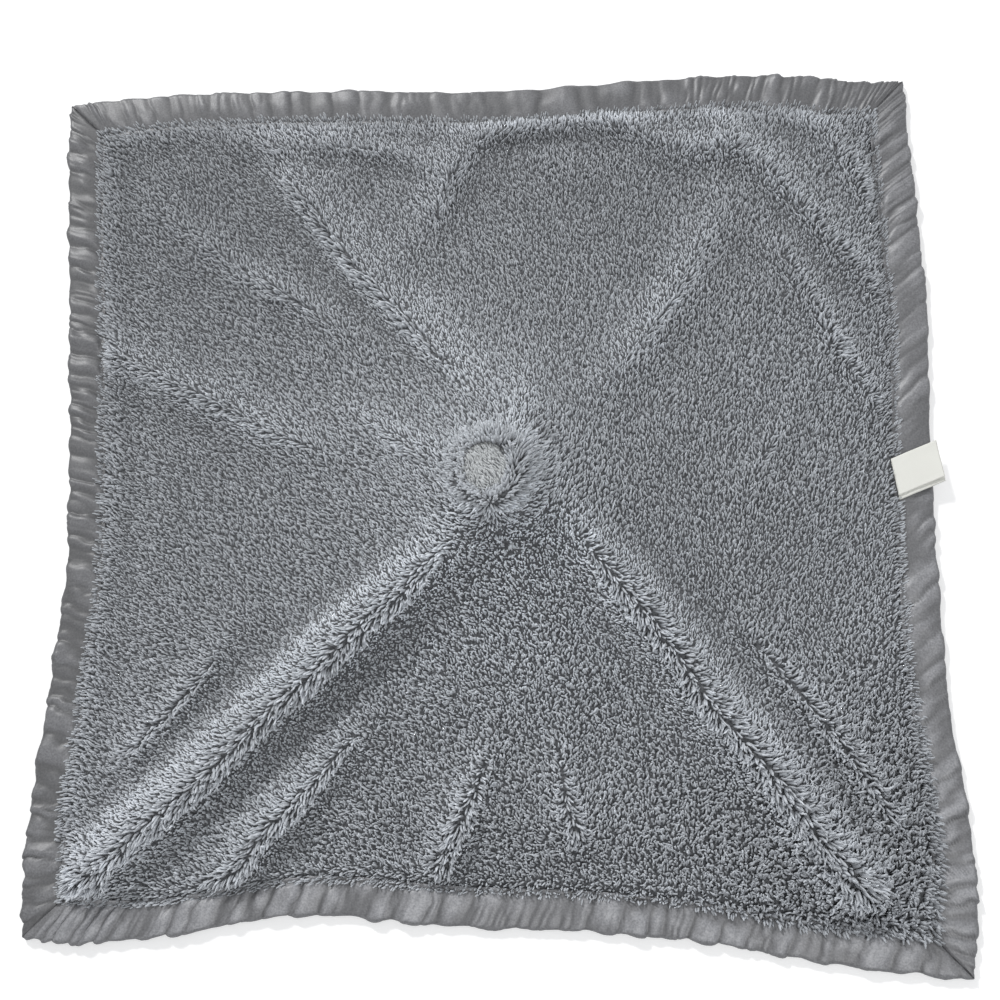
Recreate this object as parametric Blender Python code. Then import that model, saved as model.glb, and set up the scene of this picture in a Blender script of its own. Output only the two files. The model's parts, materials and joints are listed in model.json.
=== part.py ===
# A comfort blanket lovey, lying face down: a square plush blanket with a gathered satin binding,
# sewn round the neck of a small stuffed animal's head that holds the middle of the blanket up.
# Metres, +Z up. The origin is on the floor, on the neck's axis, under the flat of the nose.
import math

import bmesh
import bpy
from mathutils import Matrix, Vector
from mathutils.bvhtree import BVHTree

# Blanket
BLANKET_SIDE = 0.436
PILE_DEPTH = 0.0065
FRONT_THICKNESS = 0.0025
PANEL_EDGE_THICKNESS = 0.0009
PANEL_EDGE_INSET = 0.008
PILE_EDGE_GAP = 0.001
PILE_RAMP = 0.006
HEM_BLEND = 0.035
SEAM_GAP = 0.0003
NECK_PILE_SHARE = 0.7

# Satin binding, with its gathers and its threads
BINDING_WIDTH = 0.019
SATIN_THICKNESS = 0.0005
SATIN_PUFF = 0.0005
RUFFLE_HEIGHT = 0.0012
RUFFLE_BULGE = 0.0008
RUFFLE_PITCH = 0.036
RUFFLE_REST_LENGTH = 0.014
RUFFLE_STEPS = 3
MITRE_GAP = 0.0005
THREAD_RADIUS = 0.0003
MITRE_THREAD_RADIUS = 0.0004
STITCH_INSET = 0.002

# Head
HEAD_WIDTH = 0.078
HEAD_DEPTH = 0.039
HEAD_WALL = 0.0015
TENT_SLACK = 0.002
TENT_REACH_SHARE = 0.74
TENT_FALL_POWER = 1.05
NECK_RADIUS = 0.014
COLLAR_RISE_SHARE = 0.45
NECK_SEAM_RADIUS = 0.0005
PATCH_THICKNESS = 0.002
PATCH_RIM = 0.0004
FILLING_DROP = 0.002
MUZZLE_WIDTH = 0.030
MUZZLE_DEPTH = 0.0072
MUZZLE_DROP = 0.003
NOSE_WIDTH = 0.013
NOSE_HEIGHT = 0.009
NOSE_THICKNESS = 0.0006
MOUTH_WIDTH = 0.012
MOUTH_HEIGHT = 0.003
MOUTH_THREAD_RADIUS = 0.00025
EYE_RADIUS = 0.0026
EYE_DEPTH = 0.0012
EYE_SPACING = 0.028
EYE_RISE = 0.009

# Ears
EAR_WIDTH = 0.028
EAR_LENGTH = 0.026
EAR_THICKNESS = 0.0066
EAR_ROOT_THICKNESS = 0.002
EAR_ANGLE = 45.0

# Arms, which lie under the two lower folds
ARM_LENGTH = 0.068
ARM_WIDTH = 0.021
ARM_THICKNESS = 0.0165
ARM_WALL = 0.0012
ARM_ROOT_THICKNESS = 0.0034
ARM_ROOT_REACH = 0.008
ARM_FLAT = 0.0005
SHOULDER_TAB_HEIGHT = 0.0045
SHOULDER_TAB_WIDTH = 0.010
SHOULDER_TAB_LENGTH = 0.004
ARM_ROOT_ANGLES = {"left": 50.0, "right": 56.0}
ARM_LAY_ANGLES = {"left": 41.0, "right": 45.0}

# Care label, left blank
LABEL_LENGTH = 0.0225
LABEL_WIDTH = 0.0185
LABEL_THICKNESS = 0.0004
LABEL_CURL = 0.0012
LABEL_STEPS = 6
LABEL_SLANT = 9.5
LABEL_SKEW_SHARE = 0.21
BACK_LEAF_SHIFT = 0.002
LABEL_EDGE_SHARE = 0.486

# Folds: how high they stand above the tent, how far they fall to each side, and how they end at the hem
STRONG_FOLD_HEIGHT = 0.0145
TALL_FOLD_HEIGHT = 0.0090
MEDIUM_FOLD_HEIGHT = 0.0065
LIGHT_FOLD_HEIGHT = 0.0050
BROAD_FOLD_WIDTH = 0.0185
WIDE_FOLD_WIDTH = 0.0150
MEDIUM_FOLD_WIDTH = 0.0110
NARROW_FOLD_WIDTH = 0.0080
FOLD_FALL_POWER = 1.6
FOLD_HEM_BLEND = 0.009

HALF_SIDE = BLANKET_SIDE / 2
HEAD_RADIUS = HEAD_WIDTH / 2

# The blanket's outline as it lies, from corner to corner, in shares of its half side
TOP_EDGE_SHARES = (
    (-1.03, 0.98), (-0.82, 1.00), (-0.45, 1.005), (0.0, 0.995),
    (0.45, 1.02), (0.68, 1.02), (0.87, 1.0), (0.96, 1.00),
)
RIGHT_EDGE_SHARES = (
    (0.96, 1.00), (0.965, 0.80), (0.98, 0.45), (0.97, 0.0), (0.975, -0.42), (1.01, -0.80), (0.995, -1.03),
)
BOTTOM_EDGE_SHARES = (
    (0.995, -1.03), (0.73, -1.005), (0.45, -0.96), (0.20, -0.94), (-0.10, -0.93),
    (-0.40, -0.91), (-0.70, -0.955), (-0.88, -0.97), (-1.0, -0.96),
)
LEFT_EDGE_SHARES = (
    (-1.0, -0.96), (-1.005, -0.75), (-0.98, -0.45), (-0.96, -0.15),
    (-0.975, 0.15), (-0.995, 0.45), (-1.02, 0.75), (-1.03, 0.98),
)
EDGE_SHARES = (TOP_EDGE_SHARES, RIGHT_EDGE_SHARES, BOTTOM_EDGE_SHARES, LEFT_EDGE_SHARES)

# Where the panels' columns meet each edge, closer together where folds run out to the hem
COLUMN_SHARES = (
    (0.0, 0.04, 0.10, 0.17, 0.23, 0.29, 0.40, 0.52, 0.64, 0.75, 0.83, 0.92),
    (0.0, 0.05, 0.13, 0.23, 0.34, 0.45, 0.56, 0.67, 0.77, 0.86, 0.92, 0.965),
    (0.0, 0.035, 0.09, 0.17, 0.27, 0.37, 0.47, 0.57, 0.67, 0.77, 0.86, 0.95),
    (0.0, 0.05, 0.12, 0.22, 0.33, 0.44, 0.54, 0.61, 0.67, 0.73, 0.84, 0.94),
)
FIELD_RING_SHARES = (0.0, 0.045, 0.10, 0.17, 0.26, 0.37, 0.50, 0.64, 0.78, 0.89, 1.0)

# The main folds' routes outwards: points in shares of the half side, each with its share of the fold's height
LEFT_ARM_FOLD_SHARES = (
    (-0.05, -0.12, 0.1), (-0.11, -0.19, 0.4), (-0.18, -0.25, 0.7), (-0.26, -0.31, 0.9), (-0.37, -0.41, 1.0),
    (-0.48, -0.51, 1.0), (-0.59, -0.62, 0.9), (-0.71, -0.72, 0.8), (-0.87, -0.86, 0.6),
)
RIGHT_ARM_FOLD_SHARES = (
    (0.12, -0.05, 0.0), (0.20, -0.14, 0.4), (0.26, -0.21, 0.75), (0.33, -0.29, 0.95), (0.39, -0.37, 1.0),
    (0.46, -0.47, 1.0), (0.55, -0.58, 0.9), (0.64, -0.70, 0.8), (0.75, -0.84, 0.6),
)
UPPER_LEFT_FOLD_SHARES = (
    (-0.03, 0.19, 0.3), (-0.10, 0.28, 0.7), (-0.17, 0.36, 0.9), (-0.24, 0.44, 1.0), (-0.31, 0.52, 1.0),
    (-0.38, 0.61, 0.9), (-0.45, 0.71, 0.7), (-0.51, 0.79, 0.4),
)
UPPER_LEFT_SMALL_FOLD_SHARES = ((-0.25, 0.30, 0.3), (-0.44, 0.44, 1.0), (-0.61, 0.55, 1.0), (-0.80, 0.70, 0.5))
LEFT_FOLD_SHARES = ((-0.31, 0.08, 0.2), (-0.44, 0.10, 0.8), (-0.66, 0.22, 1.0), (-0.88, 0.325, 0.9))
ARCH_FOLD_SHARES = (
    (-0.17, 0.57, 0.3), (-0.13, 0.66, 0.7), (-0.09, 0.76, 0.9), (-0.05, 0.84, 1.0), (0.05, 0.89, 1.0),
    (0.19, 0.91, 1.0), (0.30, 0.88, 1.0), (0.39, 0.83, 1.0), (0.49, 0.81, 1.0), (0.57, 0.81, 1.0),
    (0.65, 0.73, 1.0), (0.73, 0.63, 0.9), (0.80, 0.55, 0.8), (0.88, 0.44, 0.4),
)
TOP_FOLD_SHARES = ((-0.62, 0.84, 0.5), (-0.38, 0.84, 1.0), (-0.22, 0.81, 1.0), (-0.12, 0.76, 0.4))
CORNER_FOLD_SHARES = ((0.70, 0.94, 0.5), (0.79, 0.82, 1.0), (0.89, 0.67, 0.7))
RIGHT_FOLD_SHARES = ((0.61, 0.63, 0.4), (0.67, 0.53, 1.0), (0.73, 0.42, 1.0), (0.78, 0.32, 1.0), (0.86, 0.19, 0.6))
UPPER_RIGHT_FOLD_SHARES = (
    (0.23, 0.20, 0.3), (0.30, 0.28, 0.8), (0.36, 0.37, 1.0), (0.42, 0.46, 1.0), (0.47, 0.56, 0.9), (0.53, 0.69, 0.5),
)
LOWER_LEFT_FOLD_SHARES = ((-0.54, -0.28, 0.3), (-0.65, -0.44, 1.0), (-0.78, -0.58, 0.8))
LOWER_FOLD_SHARES = (
    (-0.25, -0.50, 0.2), (-0.32, -0.58, 0.7), (-0.40, -0.67, 1.0), (-0.48, -0.75, 1.0), (-0.56, -0.86, 0.9),
)
BOTTOM_FOLD_SHARES = ((0.02, -0.54, 0.3), (-0.03, -0.65, 1.0), (-0.10, -0.81, 0.9))
LOWER_RIGHT_FOLD_SHARES = ((0.53, -0.30, 0.4), (0.65, -0.44, 1.0), (0.75, -0.57, 1.0), (0.84, -0.71, 0.7))

# Each fold's height, its widths to the left and to the right of the way outwards, and its route
FOLDS = (
    (STRONG_FOLD_HEIGHT, MEDIUM_FOLD_WIDTH, BROAD_FOLD_WIDTH, LEFT_ARM_FOLD_SHARES),
    (STRONG_FOLD_HEIGHT, WIDE_FOLD_WIDTH, MEDIUM_FOLD_WIDTH, RIGHT_ARM_FOLD_SHARES),
    (TALL_FOLD_HEIGHT, NARROW_FOLD_WIDTH, BROAD_FOLD_WIDTH, UPPER_LEFT_FOLD_SHARES),
    (LIGHT_FOLD_HEIGHT, NARROW_FOLD_WIDTH, MEDIUM_FOLD_WIDTH, UPPER_LEFT_SMALL_FOLD_SHARES),
    (MEDIUM_FOLD_HEIGHT, NARROW_FOLD_WIDTH, WIDE_FOLD_WIDTH, LEFT_FOLD_SHARES),
    (MEDIUM_FOLD_HEIGHT, WIDE_FOLD_WIDTH, NARROW_FOLD_WIDTH, ARCH_FOLD_SHARES),
    (LIGHT_FOLD_HEIGHT, MEDIUM_FOLD_WIDTH, NARROW_FOLD_WIDTH, TOP_FOLD_SHARES),
    (LIGHT_FOLD_HEIGHT, NARROW_FOLD_WIDTH, NARROW_FOLD_WIDTH, CORNER_FOLD_SHARES),
    (LIGHT_FOLD_HEIGHT, NARROW_FOLD_WIDTH, NARROW_FOLD_WIDTH, RIGHT_FOLD_SHARES),
    (MEDIUM_FOLD_HEIGHT, WIDE_FOLD_WIDTH, MEDIUM_FOLD_WIDTH, UPPER_RIGHT_FOLD_SHARES),
    (LIGHT_FOLD_HEIGHT, NARROW_FOLD_WIDTH, MEDIUM_FOLD_WIDTH, LOWER_LEFT_FOLD_SHARES),
    (MEDIUM_FOLD_HEIGHT, NARROW_FOLD_WIDTH, WIDE_FOLD_WIDTH, LOWER_FOLD_SHARES),
    (LIGHT_FOLD_HEIGHT, NARROW_FOLD_WIDTH, MEDIUM_FOLD_WIDTH, BOTTOM_FOLD_SHARES),
    (LIGHT_FOLD_HEIGHT, MEDIUM_FOLD_WIDTH, NARROW_FOLD_WIDTH, LOWER_RIGHT_FOLD_SHARES),
)

# The hem's layers, from the floor up
FRONT_EDGE_BOTTOM = SATIN_THICKNESS + SEAM_GAP
HEM_MID = FRONT_EDGE_BOTTOM + PANEL_EDGE_THICKNESS + SEAM_GAP / 2
BACK_EDGE_TOP = HEM_MID + SEAM_GAP / 2 + PANEL_EDGE_THICKNESS
UPPER_LEAF_BOTTOM = BACK_EDGE_TOP + SEAM_GAP
UPPER_LEAF_TOP = UPPER_LEAF_BOTTOM + SATIN_THICKNESS

# The head's levels, from the floor up, and the tent that the blanket makes over them
MUZZLE_BOTTOM = NOSE_THICKNESS + SEAM_GAP
FACE_Z = MUZZLE_BOTTOM + MUZZLE_DEPTH + SEAM_GAP
SHOULDER_Z = FACE_Z + HEAD_DEPTH
NECK_UNDERSIDE = SHOULDER_Z + TENT_SLACK
TENT_PEAK = NECK_UNDERSIDE + FRONT_THICKNESS + SEAM_GAP / 2
FIELD_FLOOR = FRONT_THICKNESS + SEAM_GAP / 2 + SEAM_GAP
NECK_HOLE_RADIUS = NECK_RADIUS + SEAM_GAP
COLLAR_TOP = TENT_PEAK + SEAM_GAP / 2 + PILE_DEPTH * COLLAR_RISE_SHARE
TENT_REACH = HEAD_WIDTH * TENT_REACH_SHARE

# Colours from the photograph: roughness, metallic, base colour
FINISHES = {
    "long_pile_plush": (0.95, 0.0, (0.26, 0.27, 0.29)),
    "short_pile_plush": (0.92, 0.0, (0.38, 0.40, 0.41)),
    "satin": (0.35, 0.0, (0.23, 0.23, 0.25)),
    "thread": (0.6, 0.0, (0.18, 0.18, 0.20)),
    "embroidery": (0.5, 0.0, (0.04, 0.04, 0.045)),
    "label_tape": (0.55, 0.0, (0.82, 0.82, 0.77)),
    "filling": (1.0, 0.0, (0.85, 0.85, 0.83)),
}


def clear_scene():
    for thing in list(bpy.data.objects):
        bpy.data.objects.remove(thing)


def make_materials():
    made = {}
    for name, (roughness, metallic, colour) in FINISHES.items():
        material = bpy.data.materials.new(name)
        material.use_nodes = True
        shader = material.node_tree.nodes["Principled BSDF"]
        shader.inputs["Base Color"].default_value = (*colour, 1.0)
        shader.inputs["Roughness"].default_value = roughness
        shader.inputs["Metallic"].default_value = metallic
        made[name] = material
    return made


# Small tools

def smoothstep(value):
    value = min(max(value, 0.0), 1.0)
    return value * value * (3 - 2 * value)


def mix(start, end, share):
    return start + (end - start) * share


def add_object(name, bm, finish, pivot=Vector((0, 0, 0)), parent=None, smooth_angle=40.0):
    # The mesh is made in the part's frame, and its origin is then put on its pivot.
    bmesh.ops.recalc_face_normals(bm, faces=bm.faces)
    bmesh.ops.translate(bm, vec=-pivot, verts=bm.verts)
    mesh = bpy.data.meshes.new(name)
    bm.to_mesh(mesh)
    bm.free()
    mesh.shade_smooth()
    mesh.set_sharp_from_angle(angle=math.radians(smooth_angle))
    thing = bpy.data.objects.new(name, mesh)
    bpy.context.scene.collection.objects.link(thing)
    thing.location = pivot
    thing.data.materials.append(MATERIALS[finish])
    set_parent(thing, parent)
    return thing


def set_parent(thing, parent):
    if parent is not None:
        thing.parent = parent
        thing.location = thing.location - parent.location


def add_pivot(name, place):
    pivot = bpy.data.objects.new(name, None)
    bpy.context.scene.collection.objects.link(pivot)
    pivot.location = place
    return pivot


def loft(rings, closed_path=False):
    # Skins a row of equal rings. A ring of one point is a pole. A wider end ring is closed by a strip
    # of faces between its first half and its second half, which lie side by side.
    bm = bmesh.new()
    rows = [[bm.verts.new(point) for point in ring] for ring in rings]
    pairs = list(zip(rows, rows[1:]))
    if closed_path:
        pairs.append((rows[-1], rows[0]))
    for low, high in pairs:
        count = max(len(low), len(high))
        for i in range(count):
            j = (i + 1) % count
            corners = [low[i % len(low)], low[j % len(low)], high[j % len(high)], high[i % len(high)]]
            bm.faces.new(list(dict.fromkeys(corners)))
    if not closed_path:
        for end in (rows[0], rows[-1]):
            for i in range((len(end) - 1) // 2):
                bm.faces.new(list(dict.fromkeys([end[i], end[i + 1], end[-2 - i], end[-1 - i]])))
    # Two skins that lie side by side are split along the same diagonals, so that they keep their gap.
    bmesh.ops.triangulate(bm, faces=bm.faces, quad_method="SHORT_EDGE")
    return bm


def turned_rings(profile, segments, centre=(0.0, 0.0), widen=lambda radius, angle: 1.0):
    # Rings of a turned shape from (radius, height) pairs; widen gives each direction's own radius.
    rings = []
    for radius, height in profile:
        if radius == 0:
            rings.append([Vector((centre[0], centre[1], height))])
            continue
        ring = []
        for k in range(segments):
            angle = 2 * math.pi * k / segments
            reach = radius * widen(radius, angle)
            ring.append(Vector((centre[0] + reach * math.cos(angle), centre[1] + reach * math.sin(angle), height)))
        rings.append(ring)
    return rings


def offset_profile(profile, distance):
    # Moves each point of a (radius, height) profile inwards, square to the line through its neighbours.
    moved = []
    for k, (radius, height) in enumerate(profile):
        before = profile[max(k - 1, 0)]
        after = profile[min(k + 1, len(profile) - 1)]
        run, rise = after[0] - before[0], after[1] - before[1]
        size = math.hypot(run, rise)
        moved.append((max(radius + rise / size * distance, 0.0) if radius else 0.0, height - run / size * distance))
    return moved


def add_thread(name, points, radius, finish, cyclic=False, sides=1, parent=None):
    # A sewn thread: a round bar along a poly line, with its ends filled.
    curve = bpy.data.curves.new(name, "CURVE")
    curve.dimensions = "3D"
    curve.bevel_depth = radius
    curve.bevel_resolution = sides
    curve.use_fill_caps = not cyclic
    spline = curve.splines.new("POLY")
    spline.points.add(len(points) - 1)
    for slot, point in zip(spline.points, points):
        slot.co = (*point, 1.0)
    spline.use_cyclic_u = cyclic
    curve.materials.append(MATERIALS[finish])
    thing = bpy.data.objects.new(name, curve)
    bpy.context.scene.collection.objects.link(thing)
    if parent is not None:
        thing.parent = parent
        thing.matrix_parent_inverse = Matrix.Translation(-parent.location)
    return thing


# The blanket's plan and relief

def edge_point(edge, share):
    # A point of the outline: a Catmull-Rom curve through one edge's points.
    points = EDGE_SHARES[edge]
    place = min(max(share, 0.0), 1.0) * (len(points) - 1)
    k = min(int(place), len(points) - 2)
    t = place - k
    p0, p1, p2, p3 = (points[min(max(i, 0), len(points) - 1)] for i in (k - 1, k, k + 1, k + 2))
    found = []
    for axis in (0, 1):
        a, b, c, d = p0[axis], p1[axis], p2[axis], p3[axis]
        bend = (2 * a - 5 * b + 4 * c - d) * t * t + (3 * b - a - 3 * c + d) * t * t * t
        found.append((b + ((c - a) * t + bend) / 2) * HALF_SIDE)
    return Vector(found)


def plan_point(hem, inset):
    # A point on the ray from the neck hole to a point of the outline, that far in from the outline.
    inward = inset / (HALF_SIDE - NECK_HOLE_RADIUS)
    return hem * (1 - inward) + hem.normalized() * NECK_HOLE_RADIUS * inward


def tent_height(radius):
    # The height of the surface between the two panels where they hang from the neck, without folds.
    past = max(radius - NECK_RADIUS, 0.0) / TENT_REACH
    return FIELD_FLOOR + (TENT_PEAK - FIELD_FLOOR) * math.exp(-past ** TENT_FALL_POWER)


def fold_height(place):
    # Each fold rises over its route like a bell, by its height's share there; the nearest stretch counts.
    total = 0.0
    for height, left_width, right_width, route_shares in FOLDS:
        best = 0.0
        for (x0, y0, h0), (x1, y1, h1) in zip(route_shares, route_shares[1:]):
            start, end = Vector((x0, y0)) * HALF_SIDE, Vector((x1, y1)) * HALF_SIDE
            along = end - start
            t = min(max((place - start).dot(along) / along.length_squared, 0.0), 1.0)
            away = place - start - along * t
            width = left_width if along.cross(away) > 0 else right_width
            best = max(best, mix(h0, h1, t) * math.exp(-(away.length / width) ** FOLD_FALL_POWER))
        total += height * best
    return total


def cloth_mid(place, inset):
    # The surface between the panels: flat within the binding, then rising to the tent and its folds.
    # The folds start at the pile's edge and rise faster than the tent does.
    tent = mix(HEM_MID, tent_height(place.length), smoothstep((inset - BINDING_WIDTH) / HEM_BLEND))
    return tent + fold_height(place) * smoothstep((inset - BINDING_WIDTH - PILE_EDGE_GAP) / FOLD_HEM_BLEND)


def column_hems():
    return [edge_point(edge, share) for edge, shares in enumerate(COLUMN_SHARES) for share in shares]


def panel_insets():
    # Ring distances from the outline: across the open field, then the pile's edge and the fabric's cut edge.
    field_start = HALF_SIDE - NECK_HOLE_RADIUS
    field_end = BINDING_WIDTH + PILE_EDGE_GAP + PILE_RAMP
    field = [mix(field_start, field_end, share) for share in FIELD_RING_SHARES]
    return field + [BINDING_WIDTH + PILE_EDGE_GAP, PANEL_EDGE_INSET]


def panel_rings(offset_at):
    rings = []
    for inset in panel_insets():
        ring = []
        for hem in column_hems():
            place = plan_point(hem, inset)
            ring.append(Vector((*place, cloth_mid(place, inset) + offset_at(inset))))
        rings.append(ring)
    return rings


def pile_top(inset):
    # The pile stands full depth in the open field, and is pressed flat within the binding.
    ramp = smoothstep((inset - BINDING_WIDTH - PILE_EDGE_GAP) / PILE_RAMP)
    depth = PILE_DEPTH
    if inset >= HALF_SIDE - NECK_HOLE_RADIUS:
        depth = PILE_DEPTH * NECK_PILE_SHARE
    return SEAM_GAP / 2 + mix(PANEL_EDGE_THICKNESS, depth, ramp)


def lining_bottom(inset):
    ramp = smoothstep((inset - BINDING_WIDTH) / HEM_BLEND)
    return -SEAM_GAP / 2 - mix(PANEL_EDGE_THICKNESS, FRONT_THICKNESS, ramp)


def make_panels():
    back = panel_rings(pile_top) + panel_rings(lambda inset: SEAM_GAP / 2)[::-1]
    add_object("back_panel", loft(back, closed_path=True), "long_pile_plush")
    front = panel_rings(lambda inset: -SEAM_GAP / 2) + panel_rings(lining_bottom)[::-1]
    return add_object("front_panel", loft(front, closed_path=True), "long_pile_plush")


# Binding

def ruffle(edge, share):
    # The gathers' wave along an edge, from 0 to 1, which dies away at the corners.
    length = BLANKET_SIDE * share
    from_corner = BLANKET_SIDE * min(share, 1 - share)
    wave = 0.5 - 0.5 * math.cos(2 * math.pi * length / RUFFLE_PITCH + edge)
    return wave * smoothstep((from_corner - RUFFLE_REST_LENGTH) / RUFFLE_REST_LENGTH)


def binding_profile(wave):
    # The folded strip in section, as (inset, height): over the top, round the outer fold and back below.
    # The upper leaf puffs up between the outer fold and the stitches that hold it down.
    middle = UPPER_LEAF_TOP / 2
    turn = middle + SATIN_THICKNESS
    lift = SATIN_PUFF + RUFFLE_HEIGHT * wave
    out = -RUFFLE_BULGE * wave
    seam_inset = BINDING_WIDTH - STITCH_INSET
    half_inset = BINDING_WIDTH / 2
    outer = [
        (BINDING_WIDTH, UPPER_LEAF_TOP + SATIN_PUFF / 2), (seam_inset, UPPER_LEAF_TOP),
        (half_inset, UPPER_LEAF_TOP + lift), (turn, UPPER_LEAF_TOP + lift / 2), (out, middle), (turn, 0.0),
        (BINDING_WIDTH, 0.0),
    ]
    inner = [
        (BINDING_WIDTH, SATIN_THICKNESS), (turn, SATIN_THICKNESS), (out + SATIN_THICKNESS, middle),
        (turn, UPPER_LEAF_BOTTOM + lift / 2), (half_inset, UPPER_LEAF_BOTTOM + lift),
        (seam_inset, UPPER_LEAF_BOTTOM), (BINDING_WIDTH, UPPER_LEAF_BOTTOM + SATIN_PUFF / 2),
    ]
    return outer + inner


def make_binding():
    # Each strip follows the panels' own straight stretches from column to column, so that its leaves
    # and the panels' edges stay side by side. Its ends stop short of the corners' diagonals.
    end_share = MITRE_GAP / BLANKET_SIDE
    for edge, name in enumerate(("binding_top", "binding_right", "binding_bottom", "binding_left")):
        shares = (*COLUMN_SHARES[edge], 1.0)
        rings = []
        for start, end in zip(shares, shares[1:]):
            for k in range(RUFFLE_STEPS + (end == 1.0)):
                share = min(max(mix(start, end, k / RUFFLE_STEPS), end_share), 1 - end_share)
                hem = edge_point(edge, start).lerp(edge_point(edge, end), (share - start) / (end - start))
                profile = binding_profile(ruffle(edge, share))
                rings.append([Vector((*plan_point(hem, inset), height)) for inset, height in profile])
        add_object(name, loft(rings), "satin")


def make_binding_threads():
    hems = column_hems()
    top_height = UPPER_LEAF_TOP + SEAM_GAP + THREAD_RADIUS
    top = [(*plan_point(hem, BINDING_WIDTH - STITCH_INSET), top_height) for hem in hems]
    add_thread("hem_stitching_back", top, THREAD_RADIUS, "thread", cyclic=True, sides=0)
    under_radius = SATIN_THICKNESS / 2
    under_inset = BINDING_WIDTH + SEAM_GAP + SATIN_THICKNESS
    under = [(*plan_point(hem, under_inset), under_radius) for hem in hems]
    add_thread("hem_stitching_front", under, under_radius, "thread", cyclic=True, sides=0)
    for edge, corner in enumerate(("top_left", "top_right", "bottom_right", "bottom_left")):
        hem = edge_point(edge, 0.0)
        height = UPPER_LEAF_TOP + SATIN_PUFF + SEAM_GAP + MITRE_THREAD_RADIUS
        ends = (STITCH_INSET, BINDING_WIDTH - 2 * STITCH_INSET)
        line = [(*plan_point(hem, mix(*ends, share)), height) for share in (0.0, 0.5, 1.0)]
        add_thread("mitre_seam_" + corner, line, MITRE_THREAD_RADIUS, "thread")


# Head

HEAD_UPPER_SHARES = (0.42, 0.55, 0.70, 0.84)
HEAD_SIDE_SHARES = ((0.95, 0.80), (1.0, 0.52), (0.97, 0.27), (0.86, 0.09), (0.66, 0.0))
HEAD_WIDEN_SHARE = 0.03
HEAD_SEGMENTS = 28
NECK_SEGMENTS = 24
FACE_SEGMENTS = 20
EYE_SEGMENTS = 14
MOUTH_STEPS = 12
MUZZLE_EDGE_SHARES = ((0.8, 1.0), (0.96, 0.8), (1.0, 0.5), (0.94, 0.2), (0.76, 0.0))
MUZZLE_HEIGHT_SHARE = 0.86


def head_top(radius):
    # The back of the head follows the underside of the tent, a little below it.
    return tent_height(radius) - (TENT_PEAK - NECK_UNDERSIDE) - TENT_SLACK


def head_side_height():
    return head_top(HEAD_RADIUS * HEAD_UPPER_SHARES[-1]) - FACE_Z


def head_side():
    return [(HEAD_RADIUS * r, FACE_Z + head_side_height() * h) for r, h in HEAD_SIDE_SHARES]


def head_profile():
    # From the collar's rim down over the shoulder, round the cheek and in to the middle of the face.
    upper = [(HEAD_RADIUS * share, head_top(HEAD_RADIUS * share)) for share in HEAD_UPPER_SHARES]
    return [(NECK_RADIUS, COLLAR_TOP), (NECK_RADIUS, SHOULDER_Z)] + upper + head_side() + [(0.0, FACE_Z)]


def head_widen(radius, angle):
    # A head is a little wider than it is high, but its neck is round.
    share = smoothstep((radius - NECK_RADIUS) / (HEAD_RADIUS - NECK_RADIUS))
    return 1 + HEAD_WIDEN_SHARE * share * math.cos(2 * angle)


def head_radius_at(height, angle):
    side = head_side()
    for (r0, z0), (r1, z1) in zip(side, side[1:]):
        if z1 <= height <= z0:
            radius = mix(r0, r1, (z0 - height) / (z0 - z1))
            return radius * head_widen(radius, angle)
    return HEAD_RADIUS


def make_head(pivot):
    outer = head_profile()
    inner = offset_profile(outer, HEAD_WALL)
    inner[0] = (NECK_RADIUS - HEAD_WALL, COLLAR_TOP)
    shell = turned_rings(inner[::-1] + outer, HEAD_SEGMENTS, widen=head_widen)
    add_object("head_cover", loft(shell), "short_pile_plush", parent=pivot)
    core = offset_profile(outer, HEAD_WALL + SEAM_GAP)[1:]
    core_radius = NECK_RADIUS - HEAD_WALL - SEAM_GAP
    core_top = COLLAR_TOP - FILLING_DROP
    core = [(0.0, core_top), (core_radius, core_top - FILLING_DROP)] + core
    rings = turned_rings(core, HEAD_SEGMENTS, widen=head_widen)
    add_object("head_filling", loft(rings), "filling", parent=pivot)


def make_patch(pivot):
    # The round of plush that closes the neck behind the head, and the thread round its rim.
    bottom = COLLAR_TOP + SEAM_GAP
    rim = NECK_RADIUS - PATCH_RIM
    top = bottom + PATCH_THICKNESS
    rim_height = bottom + PATCH_THICKNESS / 2
    seam_radius = rim - 2 * THREAD_RADIUS
    shoulder = rim - 2 * PATCH_THICKNESS
    profile = [(0.0, bottom), (rim - PATCH_RIM, bottom), (rim, rim_height), (shoulder, top), (0.0, top)]
    patch = loft(turned_rings(profile, NECK_SEGMENTS))
    add_object("closing_patch", patch, "short_pile_plush", parent=pivot)
    lift = (top - rim_height) * (rim - seam_radius) / (rim - shoulder)
    height = rim_height + lift + SEAM_GAP + THREAD_RADIUS
    ring = turned_rings([(seam_radius, height)], NECK_SEGMENTS)[0]
    add_thread("closing_seam", ring, THREAD_RADIUS, "thread", cyclic=True, sides=0, parent=pivot)


def make_neck_seam():
    # The ring of thread that holds the blanket's front panel round the collar.
    radius = NECK_HOLE_RADIUS + NECK_SEAM_RADIUS
    slope_drop = tent_height(NECK_RADIUS) - tent_height(radius + NECK_SEAM_RADIUS)
    height = NECK_UNDERSIDE - slope_drop - SEAM_GAP - NECK_SEAM_RADIUS
    ring = turned_rings([(radius, height)], HEAD_SEGMENTS)[0]
    add_thread("neck_seam", ring, NECK_SEAM_RADIUS, "thread", cyclic=True, sides=0)


def ellipse_widen(wide, high):
    # Turns a circle of radius wide into an ellipse of half axes wide and high.
    return lambda radius, angle: high / math.hypot(high * math.cos(angle), wide * math.sin(angle))


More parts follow.
